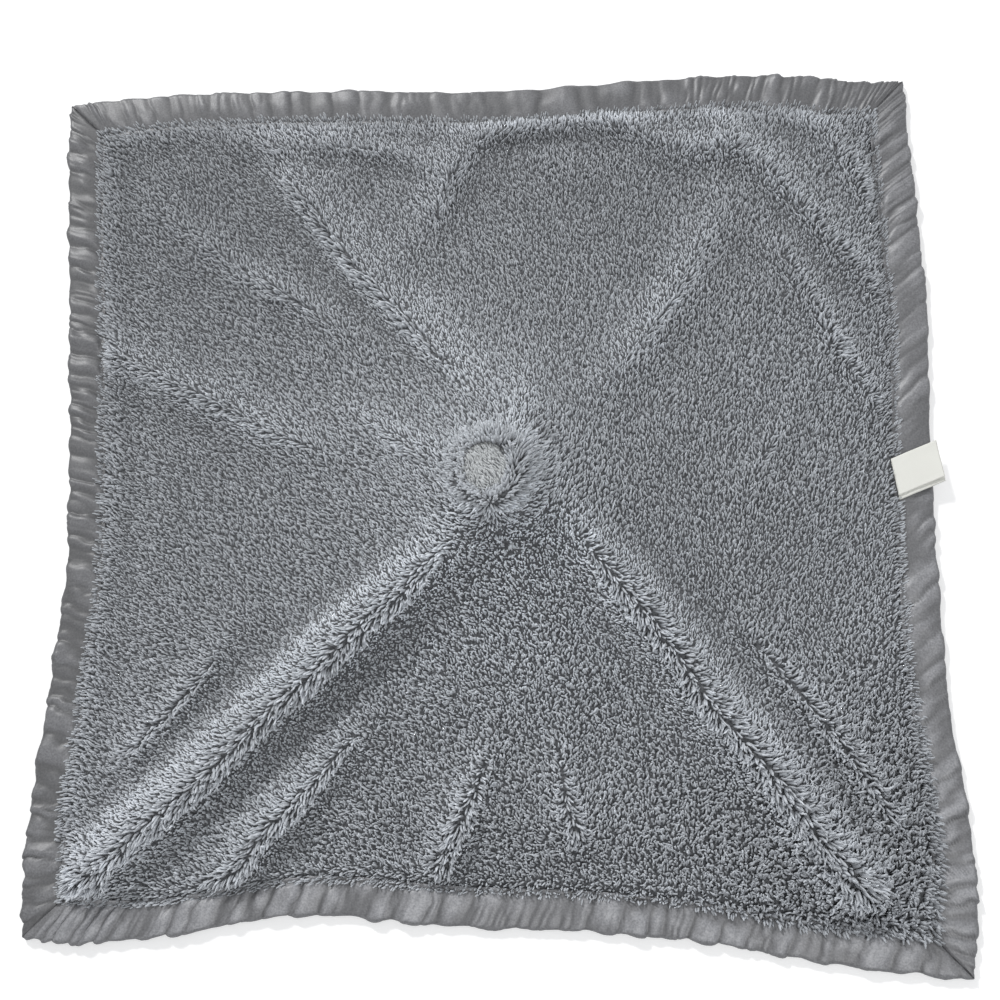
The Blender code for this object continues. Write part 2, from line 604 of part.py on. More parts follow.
def make_face(pivot):
    half = MUZZLE_WIDTH / 2
    profile = [(0.0, MUZZLE_BOTTOM + MUZZLE_DEPTH)]
    profile += [(half * r, MUZZLE_BOTTOM + MUZZLE_DEPTH * h) for r, h in MUZZLE_EDGE_SHARES]
    profile += [(0.0, MUZZLE_BOTTOM)]
    oval = ellipse_widen(MUZZLE_WIDTH, MUZZLE_WIDTH * MUZZLE_HEIGHT_SHARE)
    muzzle = turned_rings(profile, FACE_SEGMENTS, (0.0, -MUZZLE_DROP), oval)
    add_object("muzzle", loft(muzzle), "short_pile_plush", parent=pivot)

    half = NOSE_WIDTH / 2
    profile = [(0.0, NOSE_THICKNESS), (half, NOSE_THICKNESS), (half, 0.0), (0.0, 0.0)]
    nose = turned_rings(profile, FACE_SEGMENTS, widen=ellipse_widen(NOSE_WIDTH, NOSE_HEIGHT))
    add_object("nose", loft(nose), "embroidery", parent=pivot)

    # The mouth is one thread in two arcs that meet under the nose.
    mouth_top = -NOSE_HEIGHT / 2 - SEAM_GAP - 2 * MOUTH_THREAD_RADIUS
    height = MUZZLE_BOTTOM - SEAM_GAP - MOUTH_THREAD_RADIUS
    line = []
    for k in range(MOUTH_STEPS + 1):
        share = 2 * k / MOUTH_STEPS - 1
        drop = MOUTH_HEIGHT * math.sin(math.pi * abs(share))
        line.append((share * MOUTH_WIDTH / 2, mouth_top - drop, height))
    add_thread("mouth_stitch", line, MOUTH_THREAD_RADIUS, "embroidery", parent=pivot)

    top = FACE_Z - SEAM_GAP
    for side, word in ((-1, "left"), (1, "right")):
        profile = [(0.0, top), (EYE_RADIUS, top), (EYE_RADIUS, top - EYE_DEPTH / 2), (0.0, top - EYE_DEPTH)]
        eye = turned_rings(profile, EYE_SEGMENTS, (side * EYE_SPACING / 2, EYE_RISE))
        add_object("eye_" + word, loft(eye), "embroidery", parent=pivot)


# Ears

EAR_STATION_SHARES = ((0.0, 0.62), (0.15, 0.84), (0.4, 1.0), (0.65, 0.94), (0.85, 0.68), (0.96, 0.36))
EAR_ROOT_HEIGHT_SHARE = 0.22
EAR_SWELL_REACH_SHARE = 0.9
LINING_SHARE = 0.6
EAR_SECTION_STEPS = 8


def ear_swell(along):
    # The ear's thickness: thin at its root, full in the middle and thin again towards its tip.
    rise = math.sin(math.pi * min(along / EAR_SWELL_REACH_SHARE, 1.0))
    return mix(EAR_ROOT_THICKNESS, EAR_THICKNESS, rise)


def half_section(centre, across, up, width, height):
    # One layer of an ear in section: a flat side and a bellied one.
    ring = []
    for k in range(EAR_SECTION_STEPS + 1):
        angle = math.pi * k / EAR_SECTION_STEPS
        ring.append(centre + across * (width * math.cos(angle)) + up * (height * math.sin(angle)))
    return ring


def ear_layer(name, finish, hinge, outward, up, thickness_share):
    # One layer on its side of the ear's seam, which lies just above the hinge at the ear's lower face.
    across = Vector((0, 0, 1)).cross(outward)
    seam_rise = EAR_ROOT_THICKNESS / 2 * LINING_SHARE
    seat = hinge + Vector((0, 0, seam_rise)) + up * (SEAM_GAP / 2)
    rings = []
    for along, width in EAR_STATION_SHARES:
        centre = seat + outward * (EAR_LENGTH * along)
        height = (ear_swell(along) - SEAM_GAP) / 2 * thickness_share
        rings.append(half_section(centre, across, up, EAR_WIDTH / 2 * width, height))
    rings.append([seat + outward * EAR_LENGTH])
    return add_object(name, loft(rings), finish, hinge)


def make_ears(head_pivot):
    root_height = FACE_Z + head_side_height() * EAR_ROOT_HEIGHT_SHARE
    for side, word in ((-1, "left"), (1, "right")):
        angle = math.radians(90 - side * EAR_ANGLE)
        outward = Vector((math.cos(angle), math.sin(angle), 0))
        reach = head_radius_at(root_height + EAR_ROOT_THICKNESS, angle) + SEAM_GAP
        hinge = outward * reach + Vector((0, 0, root_height))
        up = Vector((0, 0, 1))
        back = ear_layer("ear_" + word + "_back", "short_pile_plush", hinge, outward, up, 1.0)
        lining = ear_layer("ear_" + word + "_lining", "satin", hinge, outward, -up, LINING_SHARE)
        set_parent(back, head_pivot)
        set_parent(lining, head_pivot)


# Arms

ARM_STATION_SHARES = (
    (0.0, 0.55), (0.06, 0.68), (0.18, 0.84), (0.35, 0.90), (0.55, 0.90), (0.75, 1.0), (0.90, 0.90), (0.97, 0.60),
)
ARM_SEGMENTS = 12
ARM_FULL_SHARE = 0.35
ARM_LAID_SHARE = 0.7
PAW_START_SHARE = 0.8


def arm_swell(share):
    # The arm's thickness: flat where it is sewn on, full along its length and round at the paw.
    rise = smoothstep(share / ARM_FULL_SHARE)
    into_paw = max(share - PAW_START_SHARE, 0.0) / (1 - PAW_START_SHARE)
    return mix(ARM_ROOT_THICKNESS, ARM_THICKNESS, rise) * math.sqrt(1 - into_paw ** 2)


def arm_rings(root, outward, skin):
    # Elliptical sections along the arm, drawn in by skin. The arm hangs from its root in a curve,
    # and its outer part lies on the floor, pressed flat there.
    across = Vector((0, 0, 1)).cross(outward)
    end_height = ARM_THICKNESS / 2 - ARM_FLAT
    rings = []
    for along, width in ARM_STATION_SHARES:
        centre = root + outward * (ARM_LENGTH * along)
        centre.z = mix(end_height, root.z, max(1 - along / ARM_LAID_SHARE, 0.0) ** 2)
        half_width = ARM_WIDTH / 2 * width - skin
        half_height = arm_swell(along) / 2 - skin
        ring = []
        for k in range(ARM_SEGMENTS):
            angle = 2 * math.pi * k / ARM_SEGMENTS
            point = centre + across * (half_width * math.cos(angle))
            point.z = max(point.z + half_height * math.sin(angle), skin)
            ring.append(point)
        rings.append(ring)
    tip = root + outward * (ARM_LENGTH - skin)
    tip.z = end_height
    return rings, [tip]


def make_arms(front_panel):
    bpy.context.view_layer.update()
    under = BVHTree.FromObject(front_panel, bpy.context.evaluated_depsgraph_get())
    for side, word in ((-1, "left"), (1, "right")):
        root_angle = math.radians(-90 + side * ARM_ROOT_ANGLES[word])
        lay_angle = math.radians(-90 + side * ARM_LAY_ANGLES[word])
        reach = HEAD_RADIUS + ARM_ROOT_REACH
        outward = Vector((math.cos(lay_angle), math.sin(lay_angle), 0))
        root = Vector((reach * math.cos(root_angle), reach * math.sin(root_angle), 0))
        underside = under.ray_cast(root, Vector((0, 0, 1)))[0].z
        root.z = underside - 2 * SEAM_GAP - SHOULDER_TAB_HEIGHT - ARM_ROOT_THICKNESS / 2
        outer, outer_tip = arm_rings(root, outward, 0.0)
        inner, inner_tip = arm_rings(root, outward, ARM_WALL)
        cover = [inner_tip] + inner[::-1] + outer + [outer_tip]
        name = "arm_" + word
        add_object(name + "_cover", loft(cover), "short_pile_plush", root)
        core, core_tip = arm_rings(root, outward, ARM_WALL + SEAM_GAP)
        add_object(name + "_filling", loft(core[2:] + [core_tip]), "filling", root)
        make_shoulder_tab("shoulder_tab_" + word, under, root, outward)


def make_shoulder_tab(name, under, root, outward):
    # The seam allowance that the arm is sewn to: a short tab standing down from the front panel,
    # whose top follows the panel's underside.
    across = Vector((0, 0, 1)).cross(outward)
    bottom = root.z + ARM_ROOT_THICKNESS / 2 + SEAM_GAP
    rings = []
    for forward in (-1, 0, 1):
        upper = []
        for sideways in (-1, 0, 1):
            step = outward * (forward * SHOULDER_TAB_LENGTH) + across * (sideways * SHOULDER_TAB_WIDTH)
            place = root + step / 2
            hit = under.ray_cast(place, Vector((0, 0, 1)))[0]
            upper.append(Vector((place.x, place.y, hit.z - SEAM_GAP)))
        lower = [Vector((point.x, point.y, bottom)) for point in reversed(upper)]
        rings.append(upper + lower)
    add_object(name, loft(rings), "thread")


# Care label

def label_leaf(name, root, out, along_seam, heights, shift):
    # A leaf of tape: it leaves the seam, climbs over the puffed satin and curls up a little at its end.
    rings = []
    for k in range(LABEL_STEPS + 1):
        share = k / LABEL_STEPS
        reach = LABEL_LENGTH * share
        centre = root + out * reach + along_seam * (shift + reach * LABEL_SKEW_SHARE)
        low = mix(*heights, min(reach / (BINDING_WIDTH / 2), 1.0)) + LABEL_CURL * share ** 2
        ends = (centre - along_seam * (LABEL_WIDTH / 2), centre + along_seam * (LABEL_WIDTH / 2))
        ring = [Vector((end.x, end.y, low)) for end in ends]
        ring += [Vector((end.x, end.y, low + LABEL_THICKNESS)) for end in reversed(ends)]
        rings.append(ring)
    add_object(name, loft(rings), "label_tape", root)


def make_label():
    # Two leaves of folded tape, caught in the binding's seam. They pass over the seam's thread first
    # and then over the tops of the gathers.
    seam = plan_point(edge_point(1, LABEL_EDGE_SHARE), BINDING_WIDTH)
    slant = math.radians(LABEL_SLANT)
    out = Vector((math.cos(slant), math.sin(slant), 0))
    along_seam = Vector((-math.sin(slant), math.cos(slant), 0))
    over_thread = UPPER_LEAF_TOP + SEAM_GAP + 2 * THREAD_RADIUS + SEAM_GAP
    over_gathers = UPPER_LEAF_TOP + SATIN_PUFF + RUFFLE_HEIGHT + SEAM_GAP
    leaf = LABEL_THICKNESS + SEAM_GAP
    root = Vector((*seam, over_thread + leaf - SEAM_GAP / 2))
    front_heights = (over_thread + leaf, over_gathers + leaf)
    label_leaf("care_label_front_leaf", root, out, along_seam, front_heights, 0.0)
    label_leaf("care_label_back_leaf", root, out, along_seam, (over_thread, over_gathers), -BACK_LEAF_SHIFT)


def main():
    front_panel = make_panels()
    make_binding()
    make_binding_threads()
    make_neck_seam()
    pivot = add_pivot("head_turn_axis", Vector((0, 0, SHOULDER_Z)))
    make_head(pivot)
    make_patch(pivot)
    make_face(pivot)
    make_ears(pivot)
    make_arms(front_panel)
    make_label()


clear_scene()
MATERIALS = make_materials()
main()
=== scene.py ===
import json
import math

import bmesh
import bpy
import numpy as np
from mathutils import Euler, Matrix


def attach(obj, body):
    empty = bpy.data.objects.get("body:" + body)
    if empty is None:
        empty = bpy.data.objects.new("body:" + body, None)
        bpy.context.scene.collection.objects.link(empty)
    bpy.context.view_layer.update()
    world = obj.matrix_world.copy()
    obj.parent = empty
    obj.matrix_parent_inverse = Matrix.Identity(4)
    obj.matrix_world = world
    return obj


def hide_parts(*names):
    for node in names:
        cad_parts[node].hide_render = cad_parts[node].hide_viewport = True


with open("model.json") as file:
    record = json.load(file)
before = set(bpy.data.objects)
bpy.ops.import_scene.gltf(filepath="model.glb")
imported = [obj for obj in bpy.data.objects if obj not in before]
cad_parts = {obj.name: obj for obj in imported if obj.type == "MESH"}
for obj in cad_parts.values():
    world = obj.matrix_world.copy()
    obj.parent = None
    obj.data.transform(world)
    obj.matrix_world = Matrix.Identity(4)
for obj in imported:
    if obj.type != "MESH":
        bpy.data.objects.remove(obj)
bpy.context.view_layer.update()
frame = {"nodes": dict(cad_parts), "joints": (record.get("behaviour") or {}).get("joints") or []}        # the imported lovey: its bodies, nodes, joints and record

mm = 0.001
world = bpy.context.scene


# Small tools

def ease(value):
    # Smooth step: 3t^2 - 2t^3 with t held between 0 and 1.
    value = np.clip(value, 0.0, 1.0)
    return value * value * (3 - 2 * value)


def blendOf(start, end, share):
    return start + (end - start) * share


def unit(vectors):
    return vectors / np.maximum(np.linalg.norm(vectors, axis=-1, keepdims=True), 1e-12)


def place3(x, y, z=0.0):
    # Places or ways from three coordinates, each a number or an array.
    return np.stack(np.broadcast_arrays(x, y, z), -1)


def hump(distance, reach):
    # A bell: exp(-(distance / reach)^2).
    return np.exp(-(distance / reach) ** 2)


def varied(rng, count, spread, low, high):
    # Chance sizes round 1, held between low and high.
    return (1 + spread * rng.standard_normal(count)).clip(low, high)


def circle(count):
    return np.linspace(0, 2 * np.pi, count, endpoint=False)


def smoothLine(points, count):
    # Catmull-Rom curve through the points: a cubic between each pair whose slopes run to its neighbours.
    points = np.asarray(points, float)
    last = len(points) - 1
    place = np.linspace(0, last, count)
    k = np.minimum(place.astype(int), last - 1)
    t = (place - k)[:, None]
    p0, p1, p2, p3 = (points[np.clip(k + step, 0, last)] for step in (-1, 0, 1, 2))
    return p1 + ((p2 - p0) * t + (2 * p0 - 5 * p1 + 4 * p2 - p3) * t ** 2
                 + (3 * p1 - p0 - 3 * p2 + p3) * t ** 3) / 2


def latticeNoise(x, y, cell, seed):
    # Values from -1 to 1 at random on a lattice of square cells, eased between the four corners of each cell.
    values = np.random.default_rng(seed).uniform(-1, 1, (128, 128))
    gx, gy = x / cell + 64, y / cell + 64
    ix, iy = np.floor(gx).astype(int), np.floor(gy).astype(int)
    fx, fy = ease(gx - ix), ease(gy - iy)
    near = blendOf(values[ix % 128, iy % 128], values[(ix + 1) % 128, iy % 128], fx)
    far = blendOf(values[ix % 128, (iy + 1) % 128], values[(ix + 1) % 128, (iy + 1) % 128], fx)
    return blendOf(near, far, fy)


def jointPlace(name):
    # Where the frame has that joint.
    return np.array(next(j for j in frame["joints"] if j["name"] == name)["pos_m"], float)


def gridFaces(rows, columns, closedRows=False, closedColumns=False):
    # Four-cornered faces between neighbouring points of a grid; a closed direction wraps round.
    r = np.arange(rows if closedRows else rows - 1)[:, None]
    c = np.arange(columns if closedColumns else columns - 1)[None, :]
    r2, c2 = (r + 1) % rows, (c + 1) % columns
    corners = (r * columns + c, r * columns + c2, r2 * columns + c2, r2 * columns + c)
    return np.stack(np.broadcast_arrays(*corners), -1).reshape(-1, 4)


def newPiece(name, points, faces, finish, body, stands=(), marks=None):
    # Puts whole arrays into a mesh. faces is a list of index arrays; marks are numbers kept at each point.
    mesh = bpy.data.meshes.new(name)
    points = np.ascontiguousarray(points.reshape(-1, 3), dtype=np.float32)
    corners = np.concatenate([part.ravel() for part in faces]).astype(np.int32)
    sizes = np.concatenate([np.full(len(part), part.shape[1]) for part in faces])
    starts = np.concatenate([[0], np.cumsum(sizes)[:-1]]).astype(np.int32)
    mesh.vertices.add(len(points))
    mesh.vertices.foreach_set("co", points.ravel())
    mesh.loops.add(len(corners))
    mesh.loops.foreach_set("vertex_index", corners)
    mesh.polygons.add(len(sizes))
    mesh.polygons.foreach_set("loop_start", starts)
    mesh.update(calc_edges=True)
    for key, values in (marks or {}).items():
        layer = mesh.attributes.new(key, "FLOAT", "POINT")
        layer.data.foreach_set("value", np.ascontiguousarray(values.ravel(), dtype=np.float32))
    mesh.shade_smooth()
    mesh.materials.append(finish)
    piece = bpy.data.objects.new(name, mesh)
    world.collection.objects.link(piece)
    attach(piece, body)
    if stands:
        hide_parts(*stands)
    return piece


def bars(centre, radius, across, sides, flat=1.0):
    # Closed bars, all at once. centre is bars x stations x 3 and radius bars x stations. Each station carries
    # a ring of points on an ellipse square to the line, as wide as radius and flat times as thick.
    tangent = unit(np.gradient(centre, axis=1))
    side = across[:, None, :] * np.ones((1, centre.shape[1], 1))
    side = unit(side - tangent * (side * tangent).sum(-1, keepdims=True))
    other = np.cross(tangent, side) * flat
    angle = 2 * np.pi * np.arange(sides) / sides
    turn = np.cos(angle)[:, None] * side[:, :, None, :] + np.sin(angle)[:, None] * other[:, :, None, :]
    points = centre[:, :, None, :] + radius[:, :, None, None] * turn
    count, stations = centre.shape[:2]
    base = (np.arange(count) * stations * sides)[:, None, None]
    j = np.arange(stations - 1)[None, :, None] * sides
    k = np.arange(sides)[None, None, :]
    k2 = (k + 1) % sides
    corners = (base + j + k, base + j + k2, base + j + sides + k2, base + j + sides + k)
    walls = np.stack(np.broadcast_arrays(*corners), -1)
    roots = base[:, 0] + np.arange(sides)[::-1]
    tips = base[:, 0] + (stations - 1) * sides + np.arange(sides)
    return points, [walls.reshape(-1, 4), np.concatenate([roots, tips])]


# Finishes

def finishNodes(name, roughness, **sockets):
    # A Principled finish; what is the same all over is set on the shader's own sockets.
    material = bpy.data.materials.new(name)
    material.use_nodes = True
    nodes, links = material.node_tree.nodes, material.node_tree.links
    shader = nodes["Principled BSDF"]
    shader.inputs["Roughness"].default_value = roughness
    for key, value in sockets.items():
        shader.inputs[key.replace("_", " ")].default_value = value
    return material, nodes, links, shader


def addTexture(nodes, links, kind, **sockets):
    # A noise or wave texture on the piece's own coordinates.
    place = nodes.new("ShaderNodeTexCoord")
    texture = nodes.new("ShaderNodeTex" + kind)
    for key, value in sockets.items():
        texture.inputs[key].default_value = value
    links.new(place.outputs["Object"], texture.inputs["Vector"])
    return texture


def addRamp(nodes, links, source, stops):
    ramp = nodes.new("ShaderNodeValToRGB")
    while len(ramp.color_ramp.elements) < len(stops):
        ramp.color_ramp.elements.new(0.5)
    for element, (place, colour) in zip(ramp.color_ramp.elements, stops):
        element.position = place
        element.color = (*colour, 1.0)
    links.new(source, ramp.inputs["Fac"])
    return ramp


def addBump(nodes, links, shader, source, distance, strength):
    bump = nodes.new("ShaderNodeBump")
    bump.inputs["Distance"].default_value = distance
    bump.inputs["Strength"].default_value = strength
    links.new(source, bump.inputs["Height"])
    links.new(bump.outputs["Normal"], shader.inputs["Normal"])


def addShade(nodes, links, shader, colour):
    # Multiplies a colour by the number kept at each point under the name shade.
    shade = nodes.new("ShaderNodeAttribute")
    shade.attribute_name = "shade"
    scaled = nodes.new("ShaderNodeVectorMath")
    scaled.operation = "SCALE"
    links.new(colour, scaled.inputs[0])
    links.new(shade.outputs["Fac"], scaled.inputs["Scale"])
    links.new(scaled.outputs["Vector"], shader.inputs["Base Color"])


def plushFinish(name, root, middle, tip, fuzz):
    # Tufts are dark at their roots, painted shade where they crowd together, and light at their tips, and no two
    # are quite alike: each one's colour is scaled by its shade number, which carries painted light and shade and
    # chance tone.
    material, nodes, links, shader = finishNodes(name, 0.9, Sheen_Weight=fuzz, Sheen_Roughness=0.5)
    along = nodes.new("ShaderNodeAttribute")
    along.attribute_name = "along"
    ramp = addRamp(nodes, links, along.outputs["Fac"], ((0.0, root), (0.42, middle), (1.0, tip)))
    addShade(nodes, links, shader, ramp.outputs["Color"])
    fibres = addTexture(nodes, links, "Noise", Scale=1800)
    addBump(nodes, links, shader, fibres.outputs["Fac"], 0.2 * mm, 0.35)
    return material


def clothFinish(name, dark, light, grain, depth, fuzz=0.3):
    # Short plush or ground cloth: mottled at the scale of its fibres.
    material, nodes, links, shader = finishNodes(name, 0.92, Sheen_Weight=fuzz, Sheen_Roughness=0.5)
    noise = addTexture(nodes, links, "Noise", Scale=grain, Detail=4.0)
    ramp = addRamp(nodes, links, noise.outputs["Fac"], ((0.32, dark), (0.68, light)))
    links.new(ramp.outputs["Color"], shader.inputs["Base Color"])
    addBump(nodes, links, shader, noise.outputs["Fac"], depth, 0.6)
    return material


def satinFinish(name, dark, light, shaded):
    # Satin: long floats give a soft gloss, with the weave's fine ribs and a cloudy mottle under it. Where shaded,
    # its colour is scaled by the shade number at each point, which carries painted light and shade.
    material, nodes, links, shader = finishNodes(name, 0.4, Specular_IOR_Level=0.7, Sheen_Weight=0.1,
                                                 Sheen_Roughness=0.35)
    cloud = addTexture(nodes, links, "Noise", Scale=1100, Detail=5.0)
    ramp = addRamp(nodes, links, cloud.outputs["Fac"], ((0.25, dark), (0.75, light)))
    if shaded:
        addShade(nodes, links, shader, ramp.outputs["Color"])
    else:
        links.new(ramp.outputs["Color"], shader.inputs["Base Color"])
    weave = addTexture(nodes, links, "Noise", Scale=2600)
    gloss = nodes.new("ShaderNodeMapRange")
    gloss.inputs["To Min"].default_value = 0.34
    gloss.inputs["To Max"].default_value = 0.58
    links.new(weave.outputs["Fac"], gloss.inputs["Value"])
    links.new(gloss.outputs["Result"], shader.inputs["Roughness"])
    addBump(nodes, links, shader, weave.outputs["Fac"], 0.05 * mm, 0.5)
    return material


def threadFinish(name, dark, light, roughness, twist):
    # Twisted thread: fine slanting bands across its length.
    material, nodes, links, shader = finishNodes(name, roughness, Sheen_Weight=0.1)
    wave = addTexture(nodes, links, "Wave", Scale=twist, Distortion=1.5)
    wave.bands_direction = "DIAGONAL"
    ramp = addRamp(nodes, links, wave.outputs["Fac"], ((0.2, dark), (0.8, light)))
    links.new(ramp.outputs["Color"], shader.inputs["Base Color"])
    addBump(nodes, links, shader, wave.outputs["Fac"], 0.1 * mm, 0.6)
    return material


def tapeFinish(name, dark, light, ribs):
    # Woven label tape: crossed fine ribs.
    material, nodes, links, shader = finishNodes(name, 0.6, Sheen_Weight=0.1)
    warp, weft = (addTexture(nodes, links, "Wave", Scale=ribs, Distortion=0.6) for _ in range(2))
    weft.bands_direction = "Y"
    both = nodes.new("ShaderNodeMath")
    both.operation = "MULTIPLY"
    links.new(warp.outputs["Fac"], both.inputs[0])
    links.new(weft.outputs["Fac"], both.inputs[1])
    ramp = addRamp(nodes, links, both.outputs["Value"], ((0.0, dark), (0.6, light)))
    links.new(ramp.outputs["Color"], shader.inputs["Base Color"])
    addBump(nodes, links, shader, both.outputs["Value"], 0.08 * mm, 0.7)
    return material


# The plush ramps' dark root colours are painted shade where the tufts crowd together.
shortRoot, shortMiddle = (0.13, 0.135, 0.145), (0.33, 0.345, 0.355)
longPlush = plushFinish("long_plush", (0.035, 0.037, 0.041), (0.325, 0.34, 0.364), (0.50, 0.525, 0.557), 0.2)
patchPlush = plushFinish("patch_plush", shortMiddle, (0.52, 0.54, 0.55), (0.62, 0.64, 0.65), 0.3)
shortPlush = plushFinish("short_plush", shortRoot, shortMiddle, (0.44, 0.455, 0.465), 0.3)
# The ground cloth is dark: painted shade in the gaps between the tufts that stand in it.
groundCloth = clothFinish("ground_cloth", (0.04, 0.042, 0.046), (0.15, 0.156, 0.166), 900, 0.8 * mm, 0.2)
liningCloth = clothFinish("lining_cloth", (0.17, 0.178, 0.19), (0.30, 0.312, 0.325), 1100, 0.5 * mm)
greySatin = satinFinish("grey_satin", (0.10, 0.102, 0.109), (0.22, 0.222, 0.233), True)
earSatin = satinFinish("ear_satin", (0.125, 0.127, 0.136), (0.175, 0.177, 0.187), False)
greyThread = threadFinish("grey_thread", (0.09, 0.09, 0.10), (0.17, 0.17, 0.18), 0.55, 900)
darkThread = threadFinish("dark_thread", (0.018, 0.018, 0.02), (0.055, 0.055, 0.06), 0.45, 1100)
labelTape = tapeFinish("label_tape_bare", (0.72, 0.72, 0.67), (0.90, 0.90, 0.845), 900)
plushCloth = clothFinish("short_plush_cloth", (0.08, 0.083, 0.09), (0.23, 0.24, 0.248), 1000, 0.6 * mm)
whiteFibre = clothFinish("white_fibre", (0.70, 0.70, 0.68), (0.88, 0.88, 0.86), 500, 0.6 * mm)
print("finishes are ready")


# The blanket's plan: its outline as it lies, in shares of its half side

blanket = {
    "side": 0.436,
    "neckHole": 14.3 * mm,
    "binding": 19 * mm,
    "edges": (
        ((-1.03, 0.98), (-0.82, 1.00), (-0.45, 1.005), (0.0, 0.995),
         (0.45, 1.02), (0.68, 1.02), (0.87, 1.0), (0.96, 1.00)),
        ((0.96, 1.00), (0.965, 0.80), (0.98, 0.45), (0.97, 0.0), (0.975, -0.42), (1.01, -0.80),
         (0.995, -1.03)),
        ((0.995, -1.03), (0.73, -1.005), (0.45, -0.96), (0.20, -0.94), (-0.10, -0.93),
         (-0.40, -0.91), (-0.70, -0.955), (-0.88, -0.97), (-1.0, -0.96)),
        ((-1.0, -0.96), (-1.005, -0.75), (-0.98, -0.45), (-0.96, -0.15),
         (-0.975, 0.15), (-0.995, 0.45), (-1.02, 0.75), (-1.03, 0.98)),
    ),
}
halfSide = blanket["side"] / 2
openField = halfSide - blanket["neckHole"]


def edgeCurve(edge, share):
    # The outline's edge as a smooth line, read at any shares of its length from 0 to 1.
    steps = 1400
    dense = smoothLine(np.array(blanket["edges"][edge]) * halfSide, steps + 1)
    place = np.clip(share, 0, 1) * steps
    return np.stack([np.interp(place, np.arange(steps + 1), dense[:, axis]) for axis in (0, 1)], -1)


def outlineTable():
    # The outline's angle and radius round the neck, in the order of the angle.
    points = np.concatenate([edgeCurve(edge, np.linspace(0, 1, 900, endpoint=False)) for edge in range(4)])
    angles = np.arctan2(points[:, 1], points[:, 0])
    order = np.argsort(angles)
    return angles[order], np.hypot(points[:, 0], points[:, 1])[order]


outlineAngles, outlineRadii = outlineTable()


def hemRadius(x, y):
    # How far out the outline is on the ray through a place.
    return np.interp(np.arctan2(y, x), outlineAngles, outlineRadii, period=2 * np.pi)


def insetOf(x, y):
    # How far in from the outline a place lies, on the ray from the neck hole through it.
    reach = hemRadius(x, y)
    return (reach - np.hypot(x, y)) / (reach - blanket["neckHole"]) * openField


def planPoints(hem, inset):
    # The place at that inset on the ray from the neck hole to each point of the outline.
    inward = np.asarray(inset)[..., None] / openField
    return hem * (1 - inward) + unit(hem) * blanket["neckHole"] * inward


# The blanket's relief: a tent over the head, and the folds that run out from it.
# Each fold has its height, its widths to the left and right of the way outwards, and its route in shares
# of the half side with a share of the height at each point. Some fall steeply at their foot on one side.

